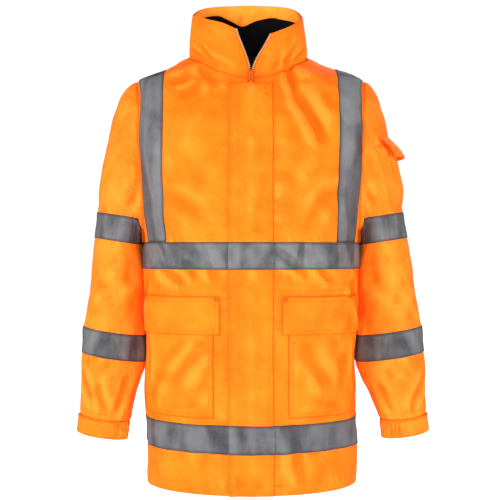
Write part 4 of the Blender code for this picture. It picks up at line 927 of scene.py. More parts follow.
def sleeve(side, name):
    """A sleeve's outer skin before its creases, for x above zero, with its turns and the armhole."""
    start, start_out = arm_edge(side)
    table = SLEEVE_RINGS[name]
    turn = -np.linspace(0, 2 * math.pi, COLUMNS, endpoint=False)
    first = drop_of(table[0][0])
    drops = np.linspace(first, drop_of(table[-1][0]), TUBE_ROWS)
    t = np.linspace(0, 1, CAP_ROWS)[:, None]
    columns = []
    for m in range(COLUMNS):
        down = (1 - math.cos(turn[m])) / 2
        spoke = unit(np.array([start[m, 1], start[m, 2] - ARM_MIDDLE_Z]))
        lean = (1 + (start[m, 2] - ARM_MIDDLE_Z) / ARM_HALF_Z) / 2
        reach = 0.028 + CAP_REACH[name] * max(lean, 0.0) ** 0.7
        leave = reach * unit(np.array([1.0, 0.24 * spoke[0], -0.12 * lean]))
        arrive_at, onward = ring_point(table, np.array([first, first + 0.004]), turn[m])
        arrive = unit(onward - arrive_at) * (0.060 + 0.245 * (1 - down) ** 0.8)
        arrive = arrive + np.array([0.02, 0, 0]) * (1 - down)
        cap = bend(t, start[m], leave, arrive_at, arrive)
        columns.append(np.concatenate([cap, ring_point(table, drops[1:], turn[m])]))
    return np.stack(columns, axis=1), turn, start, start_out


UPPER_BAND = (-0.2780, -0.3270)
FOREARM_BAND = (-0.4990, -0.5490)


def sleeve_relief(grid, turn, name):
    """How far a sleeve's creases push each point out, and each point's distance down from the armhole."""
    angle = (np.degrees(turn) + 180) % 360 - 180
    out = np.zeros(grid.shape[:2])
    for row in SLEEVE_CREASES[name]:
        a0, z0, a1, z1, bow, width, depth = np.divide(row, CREASE_UNITS)
        ax = ((angle - a0 + 180) % 360 - 180)[None, :] * DEGREE
        out += 1.25 * depth * fold_shape(ax, grid[..., 2] - z0, (a1 - a0) * DEGREE, z1 - z0, bow, width)
    round_arm = np.cos(turn)[None, :] * 0.08, np.sin(turn)[None, :] * 0.08
    out += 1.8 * drift(round_arm[0] + 0.4 * grid[..., 2], grid[..., 2] + round_arm[1])
    fall = lengths(grid)
    m = np.arange(COLUMNS)[None, :]
    ease = np.sin(m * 0.62 + 1.4 * np.sin(m * 0.21))
    seam = np.sin(m * 0.9 + 2.0 * np.sin(m * 0.33))
    to_cuff = fall[-1] - fall
    out = out * smooth(fall / 0.016) * smooth(to_cuff / 0.012 + 0.15)
    out += 0.0010 * ease * np.exp(-fall / 0.016) * smooth(fall / 0.006)
    out += 0.0016 * seam * np.exp(-to_cuff / 0.016)
    for edge in UPPER_BAND + FOREARM_BAND:
        out += 0.0007 * seam * np.exp(-np.abs(grid[..., 2] - edge) / 0.012)
    return out, fall


arms = {}
for side, name in SIDES:
    bare, turn, edge, edge_out = sleeve(side, name)
    depth, fall = sleeve_relief(bare, turn, name)
    grid = bare + tube_normals(bare) * depth[..., None]
    out = tube_normals(grid)
    out[0] = unit(out[1] + edge_out)
    out = unit(out + 0.5 * (np.roll(out, 1, axis=1) + np.roll(out, -1, axis=1)))
    tangent = unit(np.roll(edge, -1, axis=0) - np.roll(edge, 1, axis=0))
    off = unit(np.cross(tangent, edge_out))
    off = np.where((off * (edge.mean(axis=0) - edge)).sum(axis=-1, keepdims=True) > 0, off, -off)
    outer, inner = grid.copy(), grid - out * WALL
    outer[0] = edge + off * GAP * 1.4
    inner[0] = outer[0] - edge_out * WALL
    drop = grid[..., 0] * math.sin(ARM_TILT) - grid[..., 2] * math.cos(ARM_TILT)
    drop = np.maximum.accumulate(drop + np.arange(len(drop))[:, None] * 1e-9, axis=0)
    flip = (side, 1, 1)
    cloth = laid(np.degrees(-turn)[None, :] * DEGREE, fall)
    piece, quads = sew_grid("sleeve_%s_cloth" % name, outer * flip, inner * flip, cloth, lit_arm_orange, lining,
                            closed=True)
    arms[name] = grid, out, drop
    declare(piece, "sleeve_" + name, (girth_of(bare).max(), fall[-1].max()), area_of(bare, quads))


def on_sleeve(name, column, drop):
    """Points and normals of a creased sleeve at columns (counted round from the outer side) and drops."""
    grid, out, drops = arms[name]
    column, drop = np.broadcast_arrays(np.asarray(column, float), np.asarray(drop, float))
    low = np.floor(column).astype(int)
    part = (column - low)[..., None]
    found = []
    for c in (low % COLUMNS, (low + 1) % COLUMNS):
        pick = np.empty(c.shape + (6,))
        for k in np.unique(c):
            at = c == k
            for i in range(3):
                pick[at, i] = np.interp(drop[at], drops[:, k], grid[:, k, i])
                pick[at, 3 + i] = np.interp(drop[at], drops[:, k], out[:, k, i])
        found.append(pick)
    both = found[0] * (1 - part) + found[1] * part
    return both[..., :3], unit(both[..., 3:])


# Cuffs: a band of the same cloth, drawn in with elastic at the inner front, and a tab that closes it.
# The tab is stitched across at its end; the gathers are uneven in depth and spacing.
CUFF_RINGS = {
    "right": ((-0.6630, 0.2777, 0.0469, -0.010, 0.0480), (-0.6980, 0.2802, 0.0472, -0.014, 0.0420)),
    "left": ((-0.6630, 0.2886, 0.0432, -0.010, 0.0480), (-0.6975, 0.2903, 0.0437, -0.014, 0.0420)),
}
GATHERS = {"right": (-170, -122), "left": (-172, -106)}
TAB_DEG = {"right": (62, -120), "left": (62, -104)}
CUFF_COLUMNS, CUFF_ROWS, TAB_COLUMNS = 216, 17, 76
CUFF_WALL, TAB_WALL = 0.0020, 0.0026
CUFF_TALL, CUFF_DEGREE = 0.035, DEGREE * 0.8


def cuff_ring(name, z, degrees):
    """Points of a cuff's plain ring at a height, by angle from the outer side, for x above zero."""
    return ring_point(CUFF_RINGS[name], np.full(len(degrees), drop_of(z)), np.radians(degrees))


def cuff_height(name, share):
    top, bottom = CUFF_RINGS[name][0][0], CUFF_RINGS[name][1][0]
    return top + (bottom - top) * share


def cuff_at(name, degrees, share):
    """Points of the cuff's outer skin and the way out, for x above zero."""
    points = np.array([cuff_ring(name, z, degrees) for z in cuff_height(name, share)])
    out = unit(points - points.mean(axis=1, keepdims=True))
    a, down = degrees[None, :], share[:, None]
    mid = 1 - (2 * down - 1) ** 4
    drawn = smooth((a - GATHERS[name][0]) / 6) * smooth((GATHERS[name][1] - a) / 5)
    folds = np.sin(a * 0.545 + 0.9 * np.sin(a * 0.23 + 4 * down))
    folds = folds + 0.5 * np.sin(a * 1.03 + 5 * down + 1.0)
    slack = np.sin(a * 0.11 + 6 * down) * 0.0006 + np.sin(a * 0.047 - 3 * down) * 0.0007
    return points + out * (drawn * folds * 0.0025 * (0.45 + 0.55 * mid) + slack * mid)[..., None], out


for side, name in SIDES:
    degrees = (180 - np.arange(CUFF_COLUMNS) * 360.0 / CUFF_COLUMNS) % 360 - 180
    share = np.concatenate([[0, 0.02], np.linspace(0.06, 0.94, CUFF_ROWS - 4), [0.98, 1]])
    grid, out = cuff_at(name, degrees, share)
    cloth = laid(-degrees[None, :] * CUFF_DEGREE, share[:, None] * CUFF_TALL)
    piece, _ = stand_off("cuff_%s_cloth" % name, grid, out, -CUFF_WALL, CUFF_WALL, cloth, lit_arm_orange, side,
                         lining=lining, closed=True)
    around = girth_of(grid[8])
    declare(piece, "cuff_" + name, (around, CUFF_TALL + 0.0005), 0.99 * around * CUFF_TALL)

    degrees = np.linspace(*TAB_DEG[name], TAB_COLUMNS)
    share = np.concatenate([[0.05, 0.07], np.linspace(0.12, 0.88, 11), [0.93, 0.95]])
    grid, out = cuff_at(name, degrees, share)
    run = np.linspace(0, 1, TAB_COLUMNS)[None, :]
    swell = 0.0012 * np.clip(np.sin(math.pi * run) * 2, 0, 1)
    warp = 0.0005 * np.sin(run * 21 + share[:, None] * 4) * np.sin(math.pi * share[:, None])
    far = np.maximum((GAP + swell + warp * smooth(run * 8) * smooth((1 - run) * 8))[..., None], GAP)
    cloth = laid(-degrees[None, :] * CUFF_DEGREE, share[:, None] * CUFF_TALL)
    piece, _ = stand_off("cuff_tab_%s_cloth" % name, grid, out, far, TAB_WALL, cloth, lit_arm_orange, side)
    size = lengths(grid[7])[-1], 0.9 * CUFF_TALL
    declare(piece, "cuff_tab_" + name, size, 0.99 * size[0] * size[1])

# Collar: a stand collar of the same cloth with light wadding, its facing over black fleece inside; the
# facing is painted brighter and yellower, painted light where the collar's inside lies in shade.
# It is sewn into the neck seam and stands open in a V; the fleece pulls at the facing's lower edge.
COLLAR_WALL, FACING_WALL = 0.0028, 0.0012
COLLAR_TOP = {  # share of the way from the front corner, x, y, z
    "right": (
        (0.0, 0.03, -0.1, 0.057), (0.1, 0.05, -0.0935, 0.0675), (0.25, 0.083, -0.068, 0.0815),
        (0.45, 0.111, -0.015, 0.1015), (0.62, 0.109, 0.02, 0.114), (0.76, 0.093, 0.045, 0.128),
        (0.88, 0.061, 0.064, 0.1365), (1.0, 0.005, 0.071, 0.1405),
    ),
    "left": (
        (0.0, 0.0385, -0.0985, 0.0475), (0.1, 0.055, -0.0895, 0.056), (0.25, 0.078, -0.066, 0.07),
        (0.45, 0.0985, -0.015, 0.096), (0.62, 0.0965, 0.02, 0.111), (0.76, 0.081, 0.045, 0.127),
        (0.88, 0.0505, 0.064, 0.1365), (1.0, -0.005, 0.071, 0.1405),
    ),
}
COLLAR_COLUMNS, COLLAR_ROWS = 76, 34
# Creases by share of the way round from the wearer's left corner, and by share of the height:
# round0, up0, round1, up1, width, depth
COLLAR_CREASES = (
    (0.915, 0.02, 0.83, 0.34, 0.006, -0.0044), (0.88, 0.02, 0.795, 0.22, 0.006, -0.0034),
    (0.955, 0.05, 0.88, 0.26, 0.006, -0.0026), (0.93, 0.52, 0.86, 0.84, 0.012, -0.002),
    (0.09, 0.14, 0.155, 0.44, 0.006, -0.0036), (0.05, 0.06, 0.085, 0.3, 0.006, -0.0028),
    (0.13, 0.04, 0.215, 0.26, 0.007, -0.0036), (0.08, 0.6, 0.135, 0.9, 0.012, -0.002),
    (0.32, 0.06, 0.36, 0.5, 0.012, -0.003), (0.46, 0.1, 0.44, 0.6, 0.014, -0.0022),
    (0.6, 0.05, 0.57, 0.48, 0.012, -0.003), (0.7, 0.1, 0.68, 0.6, 0.012, -0.0026),
)


def collar_half(side, name):
    """Half of the collar's outer skin from its front corner to the centre back, for x above zero."""
    share = np.linspace(0, 1, COLLAR_COLUMNS)
    foot, out = on_left(spread(neck_line, share), side)
    tangent = unit(np.gradient(foot, axis=0))
    away = unit(np.cross(tangent, out))
    away = np.where(away[:, 2:3] < 0, -away, away)
    low = foot + away * 1.15 * GAP
    high = monotone(COLLAR_TOP[name], share).T
    tall = np.linalg.norm(high - low, axis=1)[:, None]
    lean = np.interp(share, (0, 0.3, 1), (-0.10, 0.0, 0.10))
    up = np.stack([0 * share, lean, np.ones_like(share)], axis=1)
    return np.array([bend(t, low, up * tall, high, high - low) for t in collar_up]), out


collar_up = np.concatenate([[0, 0.015], np.linspace(0.045, 0.955, COLLAR_ROWS - 4), [0.985, 1]])
left_half, left_out = collar_half(1, "left")
right_half, right_out = collar_half(-1, "right")
right_half, right_out = right_half * (-1, 1, 1), right_out * (-1, 1, 1)
centre = (left_half[:, -1:] + right_half[:, -1:]) / 2
collar = np.concatenate([left_half[:, :-1], centre, right_half[:, ::-1][:, 1:]], axis=1)
seam_out = np.concatenate([left_out[:-1], left_out[-1:] * (0, 1, 1), right_out[::-1][1:]])
round_share = np.linspace(0, 1, collar.shape[1])
collar_out = unit(np.cross(np.gradient(collar, axis=1), np.gradient(collar, axis=0)))
if (collar_out[12] * (collar[12] - collar[12].mean(axis=0))).sum() < 0:
    collar_out = -collar_out
collar_round = lengths(collar[16])[-1]
collar_tall = lengths(collar)[-1]
bare_collar = collar.copy()
depth = np.zeros(collar.shape[:2])
for r0, u0, r1, u1, width, deep in COLLAR_CREASES:
    ax = (round_share - r0)[None, :] * collar_round
    az = (collar_up[:, None] - u0) * collar_tall[None, :]
    depth += deep * fold_shape(
        ax, az, (r1 - r0) * collar_round, (u1 - u0) * collar_tall.mean(), 0.0, width, beside=1.3,
    )
depth += 0.0012 * np.sin(round_share * 31 + 2.0)[None, :] * np.sin(collar_up * 3.1)[:, None]
depth += 0.6 * drift(collar[..., 0] + 0.3 * collar[..., 1], collar[..., 2] - collar[..., 1])
depth *= smooth(collar_up * 9)[:, None] * smooth((1 - collar_up) * 6 + 0.15)[:, None]
collar = collar + collar_out * depth[..., None]
collar_cloth = laid(round_share[None, :] * collar_round, collar_up[:, None] * collar_tall[None, :])
inner = collar - collar_out * COLLAR_WALL
inner[0] = collar[0] - unit(seam_out + collar_out[0]) * COLLAR_WALL
over = unit(collar[1] - collar[0]) * 0.0007
collar[0], inner[0] = collar[0] - over, inner[0] - over
piece, quads = sew_grid("collar_cloth", collar, inner, collar_cloth, shell_orange, tuck=0.0003)
declare(piece, "collar", (collar_round * 1.06, collar_tall.max()), area_of(bare_collar, quads))

# Share of the collar's height that the facing takes, by x
FACING_DEPTH = (
    (-0.12, 0.17), (-0.0855, 0.18), (-0.072, 0.19), (-0.055, 0.27), (-0.036, 0.38), (-0.026, 0.425),
    (-0.018, 0.425), (0.0, 0.37), (0.014, 0.31), (0.036, 0.265), (0.055, 0.24), (0.072, 0.25), (0.12, 0.2),
)
# Soft folds of the facing at the back of the neck: x, width, depth
FACING_FOLDS = (
    (-0.022, 0.005, -0.0026), (-0.033, 0.007, 0.002), (-0.01, 0.0065, 0.0018), (0.022, 0.008, -0.0016),
    (0.04, 0.01, 0.0014), (-0.06, 0.01, -0.0014), (0.06, 0.008, -0.0012),
)


def collar_sheet(low, high, rows, near, wall):
    """Grids of a layer inside the collar, from one share of its height to another, near inside its skin."""
    share = low[None, :] + (high - low)[None, :] * np.linspace(0, 1, rows)[:, None]
    row = np.interp(share, collar_up, np.arange(len(collar_up)))
    r = np.minimum(row.astype(int), len(collar_up) - 2)
    part = (row - r)[..., None]
    c = np.arange(collar.shape[1])[None, :]
    points = collar[r, c] * (1 - part) + collar[r + 1, c] * part
    out = unit(collar_out[r, c] * (1 - part) + collar_out[r + 1, c] * part)
    cloth = collar_cloth[r, c] * (1 - part) + collar_cloth[r + 1, c] * part
    return points - out * (near + wall), points - out * near, out, cloth


FACING_ROWS, FLEECE_ROWS = 15, 24
top_x = bare_collar[-1, :, 0]
depth = monotone(FACING_DEPTH, top_x)[0]
depth = np.where(bare_collar[-1, :, 1] > -0.04, depth, 0.20)
low, high = 1 - depth, np.full(len(depth), 0.994)
shown, hidden, out, cloth = collar_sheet(low, high, FACING_ROWS, COLLAR_WALL + GAP + 0.0012, FACING_WALL)
fold = sum(d * np.exp(-(((top_x - x) / w) ** 2)) for x, w, d in FACING_FOLDS)
fold = 1.3 * fold * smooth(bare_collar[-1, :, 1] / 0.03) + 0.0034 + 0.0005 * np.sin(top_x * 290 + 1.0)
fold = np.maximum(fold, 0) * smooth((depth - 0.05) / 0.1)
shift = out * (fold[None, :] * np.linspace(1, 0.12, FACING_ROWS)[:, None])[..., None]
# The facing is the orange cloth painted brighter and yellower, painted light where the inside of the collar
# is in shade
lit_facing_orange = woven_orange("facing_cloth", (1.0, 0.23, 0.010, 1), (1.0, 0.46, 0.055, 1), 1.3, 0.3)
plain = (shown + hidden) / 2
shown, hidden = shown - shift, hidden - shift
piece, quads = sew_grid("collar_facing_cloth", shown, hidden, cloth, lit_facing_orange, tuck=0.0003)
size = collar_round, depth.max() * collar_tall.max()
declare(piece, "collar_facing", size, area_of(plain, quads))

# Fleece: a brushed black pile, dense and dull, over the inside of the collar
fleece, tree, shader = finish_of("black_fleece", 0.95, sheen=0.08, specular=0.08)
pile, tufts = tree.noise(tree.place(), 700.0, 5.0, 0.7), tree.cells(tree.place(), 420.0)
nap = pile * 0.7 + tufts * 0.3
feed(tree, shader, Base_Color=nap.mixed((0.0008, 0.0008, 0.0009, 1), (0.006, 0.006, 0.0068, 1)),
     Roughness=0.8 + 0.2 * pile, Normal=tree.bumps((0.9, 0.0012, nap)))
low, high = np.zeros(len(depth)), np.minimum(1 - depth + 0.06, 0.95)
shown, hidden, out, cloth = collar_sheet(low, high, FLEECE_ROWS, COLLAR_WALL + GAP * 0.5, 0.0010)
over_seam = np.where(collar[0, :, 1] > -0.05, 0.0050, 0.0)[None, :, None]
over_seam = over_seam * np.array([1.0, 0.4, 0.1])[:, None, None]
shown[:3] -= over_seam * unit(shown[3:4] - shown[:1])
hidden[:3] -= over_seam * unit(shown[3:4] - shown[:1])
piece, quads = sew_grid("neck_lining_fleece", shown, hidden, cloth, fleece, tuck=0.0002)
size = collar_round, 0.85 * collar_tall.max()
declare(piece, "neck_lining", size, area_of((shown + hidden) / 2, quads), slot="fleece")

# Storm flap: a folded strip over the zip, sewn down along the wearer's left edge and loose along the other.
# The loose edge lifts in places and throws a shadow.
FLAP_HALF, FLAP_TOP_Z, FLAP_WALL = 0.0400, -0.0425, 0.0022
FLAP_LIFTS = (  # z, lift
    (-0.782, 0.003), (-0.74, 0.0022), (-0.69, 0.0026), (-0.64, 0.0012), (-0.56, 0.002), (-0.47, 0.0012),
    (-0.4, 0.0016), (-0.35, 0.001), (-0.29, 0.002), (-0.2, 0.0014), (-0.13, 0.002), (-0.085, 0.0038),
    (-0.055, 0.0022), (-0.042, 0.0006),
)


def flap_stand(s, z):
    """How far the flap stands off the fronts: over the zip's chain, and along its loose edge."""
    chain = 0.0010 * np.exp(-((s / 0.009) ** 2))
    loose = monotone(FLAP_LIFTS, z)[0] * smooth((-s - 0.022) / 0.018)
    return chain + loose


def with_rims(start, end, step, rim=0.0012):
    """Stations from start to end at about the step, with a close one inside each end."""
    n = max(2, round(abs(end - start) / step))
    sign = 1 if end > start else -1
    return np.concatenate([[start], np.linspace(start + sign * rim, end - sign * rim, n), [end]])


NET, TAPE_NET = 0.0042, 0.0046


def panel(name, node_name, s, v, near, wall, finish, held="laid", slot="orange_cloth", **more):
    """A sewn-on panel from grids of girth and height, standing near off the body's cloth."""
    more.setdefault("tuck", 0.0006)
    near = np.broadcast_to(near, s.shape)
    outer, inner = on_body(s, v, near + wall)[0], on_body(s, v, near)[0]
    piece, quads = sew_grid(name, outer, inner, laid(s, v), finish, **more)
    plain = bare_point(s, v)
    declare(piece, node_name, (span(plain, 1), span(plain, 0)), area_of(plain, quads), slot)
    return piece


def flap_net(low, high, step, rim):
    """Girths and heights over the storm flap, whose edges lie at an even distance from the centre."""
    share, v = np.meshgrid(with_rims(-1.0, 1.0, 0.1, rim), with_rims(rise(low), rise(high), step))
    return share * girth_at_x(height(v[:, 0]), FLAP_HALF)[:, None], v


s, v = flap_net(HEM_Z, FLAP_TOP_Z, NET, 0.035)
# Its edges carry the finish's painted shadow line besides the real shadow of the lifted edge
panel("storm_flap_cloth", "storm_flap", s, v, GAP + flap_stand(s, height(v)), FLAP_WALL, orange, "hung")

# Patch pockets: bags that reach round to the sides, stitched at the sides and the bottom, a little slack.
# Their flaps are two layers, stitched round, with a tack at each top corner.
POCKET = (0.0670, 0.2360, -0.6450, -0.4400)
POCKET_FLAP = (0.0560, 0.2430, -0.4960, -0.4280)
POCKET_PUFF, PATCH_WALL = 0.0050, 0.0016
POCKET_CREASES = {  # in mm: s0, z0, s1, z1, bow, width, depth
    1: (
        (88, -499, 150, -598, 6, 14, -4.8), (76, -520, 96, -600, -4, 12, -2),
        (150, -500, 178, -560, 4, 14, -2.6), (190, -520, 172, -630, 5, 15, -2.8),
        (216, -500, 226, -610, 3, 9, -2.6), (110, -610, 170, -630, 4, 12, -2.2),
    ),
    -1: (
        (74, -506, 146, -590, -5, 13, -5), (70, -560, 110, -610, 4, 12, -2.4),
        (120, -500, 176, -548, 4, 14, -2.4), (170, -560, 206, -630, -4, 14, -2.8),
        (220, -500, 214, -600, 3, 10, -2.6), (96, -618, 160, -634, 3, 12, -2),
    ),
}
# The flaps ripple a little across their width: s, width, depth
FLAP_RIPPLES = {
    1: ((0.100, 0.016, 0.0010), (0.132, 0.012, -0.0010), (0.160, 0.014, 0.0016), (0.196, 0.010, -0.0018),
        (0.214, 0.010, 0.0018), (0.232, 0.007, -0.0014)),
    -1: ((0.084, 0.012, 0.0010), (0.118, 0.016, -0.0008), (0.156, 0.014, 0.0012), (0.190, 0.014, -0.0012),
         (0.222, 0.010, 0.0012)),
}


def pocket_stand(side, s, z):
    """How far a pocket's bag stands off the front, by girth and height."""
    s0, s1, low, high = POCKET
    across = np.clip((s - s0) / (s1 - s0), 0, 1)
    upward = np.clip((z - low) / (high - low), 0, 1)
    puff = POCKET_PUFF * (np.sin(math.pi * across) * np.clip(np.sin(math.pi * upward) * 1.4, 0, 1)) ** 0.7
    out = np.zeros(np.broadcast(s, z).shape)
    for row in POCKET_CREASES[side]:
        a0, z0, a1, z1, bow, width, depth = np.array(row) / 1000
        out += depth * fold_shape(s - a0, z - z0, a1 - a0, z1 - z0, bow, width, (0.2, 0.5, 0.6))
    edge = smooth(np.minimum(np.minimum(across, 1 - across) * (s1 - s0), np.clip(z - low, 0, 1)) / 0.012)
    pull = 0.0007 * np.sin(z * 310 + 2 * np.sin(z * 77)) * np.exp(-(s - s0) / 0.012)
    pull = pull + 0.0008 * np.sin(s * 330 + 2 * np.sin(s * 90)) * np.exp(-np.clip(z - low, 0, 1) / 0.012)
    return np.maximum(puff + (out + pull) * edge, 0.0)


def pocket_flap_stand(side, s, z):
    """How far a pocket's flap stands off the front: on the bag, with its ripples towards the free edge."""
    low, high = POCKET_FLAP[2:]
    down = smooth((high - z) / (high - low))
    ripple = sum(d * np.exp(-(((s - at) / w) ** 2)) for at, w, d in FLAP_RIPPLES[side]) * down
    stand = pocket_stand(side, s, z) + np.maximum(ripple, 0) + 0.0006 * down
    return 2 * GAP + PATCH_WALL + stand + np.minimum(ripple, 0) * 0.8


def patch_net(s0, s1, low, high):
    return np.meshgrid(with_rims(s0, s1, NET), with_rims(rise(low), rise(high), NET))


for side, name in SIDES:
    s, v = patch_net(*POCKET)
    panel("pocket_%s_cloth" % name, "pocket_" + name, s * side, v, GAP + pocket_stand(side, s, height(v)),
          PATCH_WALL, orange)
    s, v = patch_net(*POCKET_FLAP)
    panel("pocket_flap_%s_cloth" % name, "pocket_flap_" + name, s * side, v,
          pocket_flap_stand(side, s, height(v)), FLAP_WALL, orange)

# Sleeve pocket: a small patch on the wearer's left upper arm, with two pen channels along its front edge.
# Its flap stands open above it.
SLEEVE_POCKET_Z = (-0.1500, -0.2640)
POCKET_COLUMNS, FLAP_COLUMNS = (-12, 30), (-12, 24)
PEN_CHANNELS = (21.5, 25.6)


def sleeve_pocket_stand(column, down):
    """How far the sleeve pocket stands off the sleeve, by column and by share of the way down it."""
    over = (column - POCKET_COLUMNS[0]) / (POCKET_COLUMNS[1] - POCKET_COLUMNS[0])
    lift = np.clip(np.sin(math.pi * down) * 1.2 + 0.35 * (1 - down), 0, 1)
    lift = lift * np.clip(np.sin(math.pi * over) * 1.5, 0, 1)
    channel = sum(np.exp(-(((column - c) / 0.55) ** 2)) for c in PEN_CHANNELS)
    return (GAP + np.maximum(0.0045 * lift - 0.0022 * channel * lift, 0))[..., None]


top, bottom = (drop_of(z) for z in SLEEVE_POCKET_Z)
columns, drops = np.meshgrid(with_rims(*POCKET_COLUMNS, 0.9, 0.5), with_rims(top, bottom, 0.0040))
grid, out = on_sleeve("left", columns, drops)
near = sleeve_pocket_stand(columns, (drops - top) / (bottom - top))
cloth = laid(columns * COLUMN, drops)
piece, quads = stand_off("sleeve_pocket_cloth", grid, out, near, PATCH_WALL, cloth, lit_arm_orange)
declare(piece, "sleeve_pocket", (span(grid, 1), bottom - top + 0.002), area_of(grid, quads))

WING_STAND = ((-0.1345, 0.0009), (-0.1440, 0.0060), (-0.1550, 0.0120), (-0.1660, 0.0165), (-0.1770, 0.0190))
top, bottom = WING_STAND[0][0], WING_STAND[-1][0]
z = np.concatenate([[top], np.linspace(top - 0.0012, bottom + 0.0012, 11), [bottom]])
columns, z = np.meshgrid(with_rims(*FLAP_COLUMNS, 0.9, 0.5), z)
grid, out = on_sleeve("left", columns, drop_of(z))
over = (columns - FLAP_COLUMNS[0]) / (FLAP_COLUMNS[1] - FLAP_COLUMNS[0])
far = (monotone(WING_STAND, z)[0] * (1 - 0.10 * np.sin(over * 9 + 1)))[..., None]
cloth = laid(columns * COLUMN, -z)
piece, quads = stand_off("sleeve_pocket_flap_cloth", grid, out, far, FLAP_WALL, cloth, lit_arm_orange)
plain = grid + out * far
size = span(plain, 1) + 0.001, span(plain, 0) + 0.001
declare(piece, "sleeve_pocket_flap", size, area_of(plain, quads))

# Reflective tape: grey cloth of glass beads, 50 mm wide, sewn on flat along both edges.
# Two hoops go round the body, one strip goes over each shoulder, and each sleeve has two bands.
TAPE_WALL, TAPE_TUCK = 0.0010, 0.0003
HEM_TAPE, WAIST_TAPE = (-0.7080, -0.6565), (-0.3800, -0.3310)
BRACE_WIDTH, BRACE_SPAN, BRACE_REACH = 0.0510, 0.0480, 1.075
BRACE_EDGE = (  # z, x of the inner edge
    (-0.332, 0.1545), (-0.25, 0.157), (-0.16, 0.1585), (-0.1, 0.159), (-0.05, 0.16), (0.0, 0.161),
)
tape, tree, shader = finish_of("reflective_tape", 0.5, metallic=0.12, specular=0.16)
place, inset, hollow_shade, painted_light_shade = tree.place(), tree.mark("inset"), tree.mark("hollow"), tree.mark("painted_light_shade")
beads, cloud = tree.cells(place, 1100.0), tree.noise(place, 26.0, 4.0, 0.6)
grime = tree.noise(place, 210.0, 3.0, 0.65)
stretched = tree.node("ShaderNodeMapping", inputs={"Vector": tree.cloth(), "Scale": (1.0, 0.22, 1.0)})
folds = tree.noise(stretched, 27.0, 2.0, 0.4, 0.6)
# Painted light and shade: light and dark bands along the tape's folds, darker in the cloth's hollows and
# lighter on its ridges; the cloud, grime and bead tones vary at random
tone = (folds.between(0.38, 0.60) * 0.46 + (hollow_shade * -1.0).between(-0.0006, 0.0006) * 0.22
        + cloud.between(0.32, 0.68) * 0.14 + grime.between(0.3, 0.7) * 0.12 + beads * 0.06)
colour = tone.mixed((0.036, 0.036, 0.039, 1), (0.188, 0.188, 0.198, 1))
# The stitch groove is painted darker and the edges carry a thin dark line, painted shade where the tape
# sits on the cloth
groove = inset.between(0.0020, 0.0030) * (1.0 - inset.between(0.0032, 0.0042))
# The mark read as the tape's light and shade paints a lighter grey highlight where it is above zero and a
# near-black shade where it is below
for share, tint in (
    (painted_light_shade.between(0.0, 1.0) * 0.45, (0.31, 0.31, 0.33, 1)),
    ((painted_light_shade * -1.0).between(0.0, 1.0) * 0.94, (0.011, 0.011, 0.011, 1)),
    ((1.0 - inset.between(0.0006, 0.0022)) * 0.85, (0.022, 0.018, 0.018, 1)),
    (groove * 0.40, (0.06, 0.056, 0.056, 1)),
):
    colour = share.mixed(colour, tint)
sheet = 0.4 * cloud + folds - groove * 0.2
feed(tree, shader, Base_Color=colour, Roughness=0.46 + 0.22 * grime,
     Normal=tree.bumps((0.75, 0.0060, sheet), (0.30, 0.0004, grime), (0.25, 0.00015, beads)))


def strip(name, s, v, near, ends):
    """A length of tape on the body."""
    return panel("tape_%s_strip" % name, "tape_" + name, s, v, near, TAPE_WALL, tape,
                 slot="reflective_tape", tuck=TAPE_TUCK, ends=ends)


for name, (low, high) in (("waist", WAIST_TAPE), ("hem", HEM_TAPE)):
    share, v = np.meshgrid(with_rims(0.0, 1.0, NET, 0.001), with_rims(rise(low), rise(high), TAPE_NET))
    start = girth_at_x(height(v[:, 0]), FLAP_HALF + GAP)[:, None]
    strip(name, start + share * 2 * (whole_girth(v) - start), v, GAP, False)
    s, v = flap_net(low, high, TAPE_NET, 0.03)
    strip("flap_" + name, s, v, 2 * GAP + FLAP_WALL + flap_stand(s, height(v)), False)


CHEST_Z = -0.07  # above it the shoulder strips are drawn with closer points


def shoulder_line(outer):
    """An edge of the shoulder strip from the front of the waist tape to its back, as (girth, rise)."""
    halves = []
    for front in (True, False):
        z = np.linspace(WAIST_TAPE[1] + GAP, CHEST_Z, 40), np.linspace(CHEST_Z, 0.022, 400)[1:]
        z = np.concatenate(z)
        x_in, wide = monotone(BRACE_EDGE, z)[0], monotone(SECTIONS, z)[0]
        s = girth_at_x(z, np.minimum(x_in, wide), front)
        side = girth_at_turn(z, 0.0)
        reaches = x_in < wide
        if outer:
            steep = np.interp(z, (-0.05, -0.01), (1.0, 0.0))
            x_out = x_in + BRACE_SPAN
            near = girth_at_x(z, np.minimum(x_out, wide), front)
            s = (s + (BRACE_WIDTH if front else -BRACE_WIDTH)) * steep + near * (1 - steep)
            reaches = x_out < wide
        s = np.where(reaches, s, side)
        stop = int(np.argmax(~reaches)) if (~reaches).any() else len(z) - 1
        s[stop] = side[stop]
        halves.append(laid(s, rise(z))[: stop + 1])
    return spread(np.concatenate([halves[0], halves[1][::-1][1:]]), with_rims(0.0, 1.0, 0.0052, 0.0015))


def between_edges(share):
    """Girths and heights of a shoulder strip at a share of its width."""
    return (near_edge[:, k : k + 1] * (1 - share) + far_edge[:, k : k + 1] * share for k in (0, 1))


